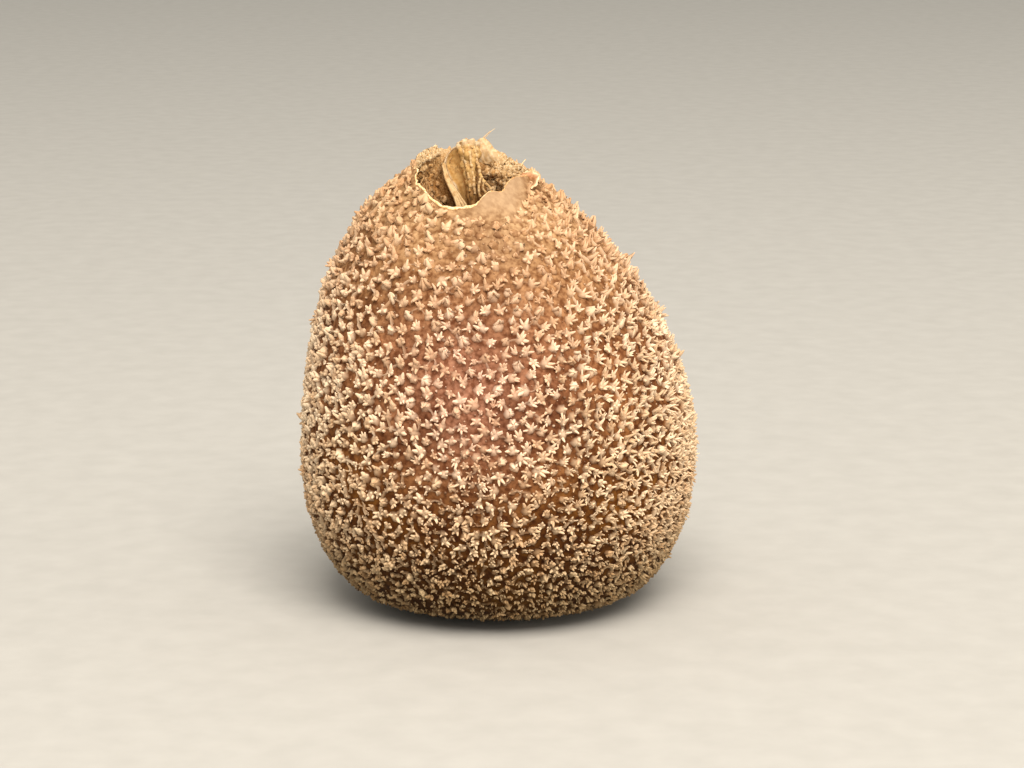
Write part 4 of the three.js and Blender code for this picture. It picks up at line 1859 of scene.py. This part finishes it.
# %% [markdown]
# Threads of the cotton stick out from the wall. Real threads are far finer than a hair, and would
# not show at all. They could be left out, but then the wall's outline would be hard. These are
# drawn 0.04 mm thick, some ten times coarser than real ones.

# %% Threads on the wall
THREAD_RADIUS = 0.02  # millimetres
THREAD_STEPS, THREAD_SIDES = 7, 3


def threads(count, turn_range, share_range, length):
    """Single threads that stand out from the wall and bend."""
    parts = []
    turn = np.radians(between(*turn_range, count))
    start, below = hollow_points(turn, between(*share_range, count))
    inward = unit(HOLLOW_MIDDLE - start)
    start = start - inward * (CAVE_DEPTH * cave_at(turn, below))[:, None]
    t = np.linspace(0, 1, THREAD_STEPS)[:, None]
    for index in range(count):
        heading = unit(inward[index] * 0.7 + chance.normal(0, 0.6, 3))
        bend = unit(chance.normal(0, 1, 3))
        long = length * (0.5 + chance.random())
        line = start[index] + inward[index] * 0.12 + heading * long * t + bend * long * 0.5 * t * t
        radius = THREAD_RADIUS * np.linspace(1.1, 0.6, THREAD_STEPS)
        parts.append(tube(line, radius, THREAD_SIDES))
    return parts


parts = threads(160, (0, 360), (0.01, 0.3), 0.4)  # all round
parts += threads(240, (0, 200), (0.0, 0.45), 0.45)  # more at the back
print(len(parts), "threads")

# %% [markdown]
# On the left, matted strands of cotton lie along the wall and slant down it. The wall's own noise
# has no direction, so it can't show them. They are tubes too, but thicker, and they follow the
# wall instead of leaving it. Threads and strands are one piece, because they are one kind of
# tissue.

# %% Strands along the wall
STRAND_STEPS, STRAND_SIDES = 24, 5
STRAND_RADIUS = 0.05, 0.1  # lowest and highest, in millimetres


def strands(count, turn_range, share_range, slant):
    """Matted strands that lie along the wall, slanting down it."""
    parts = []
    t = np.linspace(0, 1, STRAND_STEPS)
    for index in range(count):
        first = between(*turn_range, 1)
        turn = np.radians(first + slant * t)
        share = between(*share_range, 1) + 0.2 * t
        line, below = hollow_points(turn, share)
        line = line + unit(HOLLOW_MIDDLE - line) * (0.3 * ease(below / 1.5) + 0.1)[:, None]
        line = line + 0.12 * np.stack([noise_at(line, 0.6, 7.0 * index + k) for k in range(3)], -1)
        radius = between(*STRAND_RADIUS, 1) * np.sin(np.pi * (0.1 + 0.8 * t))
        parts.append(tube(line, radius, STRAND_SIDES))
    return parts


parts += strands(40, (146, 205), (0.08, 0.5), 34)
points, faces = join(parts)
# Painted shade: the threads darken with depth below the rim, and the higher ones get a faint
# painted highlight.
rim = ragged_rim(np.arctan2(points[:, 1], points[:, 0] - HOLLOW_MIDDLE[0]))
deep = np.clip((rim - points[:, 2]) / DARKEST_BELOW, 0, 1)
make_piece("threads", points, faces, spore_cotton, deep=deep, crest=0.2 * (1 - deep))

# %% [markdown]
# A few loose hairs have been torn out of the rim, two at its peak and one on either side.
# Blender's hair would need a surface to grow from and settings for each strand. Four tubes
# through three points each are simpler, and they end in fine tips because the radius shrinks
# along them.

# %% Loose hairs on the rim
HAIRS = [  # each a line and a radius
    ([(-1.1, 3.4, 30.55), (-0.65, 3.3, 31.0), (-0.2, 3.2, 31.3)], 0.028),
    ([(-1.0, 3.4, 30.5), (-0.7, 3.35, 30.85), (-0.45, 3.4, 31.1)], 0.02),
    ([(1.5, 1.5, 29.0), (1.7, 1.6, 29.3), (1.85, 1.7, 29.45)], 0.04),
    ([(-4.2, 2.0, 30.1), (-4.1, 2.0, 30.3), (-4.15, 2.0, 30.45)], 0.02),
]
HAIR_STEPS, HAIR_SIDES = 16, 6
parts = []
for route, radius in HAIRS:
    line = curve_through(route, np.linspace(0, 1, HAIR_STEPS))
    parts.append(tube(line, radius * np.linspace(1.2, 0.45, HAIR_STEPS), HAIR_SIDES))
points, faces = join(parts)
make_piece("hairs", points, faces, papery_edge, pale=np.ones(len(points)))

# %% [markdown]
# ## The finished size
#
# Modelled detail can grow past the size of the real thing without anyone noticing. So the last
# cell measures the box of all the pieces, prints it, and keeps it beside the box of the plain solid
# from the first cell.

# %% Measure the sizes and finish
made_low, made_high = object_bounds()
grown = [high - low for low, high in zip(made_low, made_high)]
print("the finished box, in mm:", [round(1000 * side, 2) for side in grown])
sizes = {
    "cad": [list(cad_low), list(cad_high)],
    "visual": [list(made_low), list(made_high)],
}
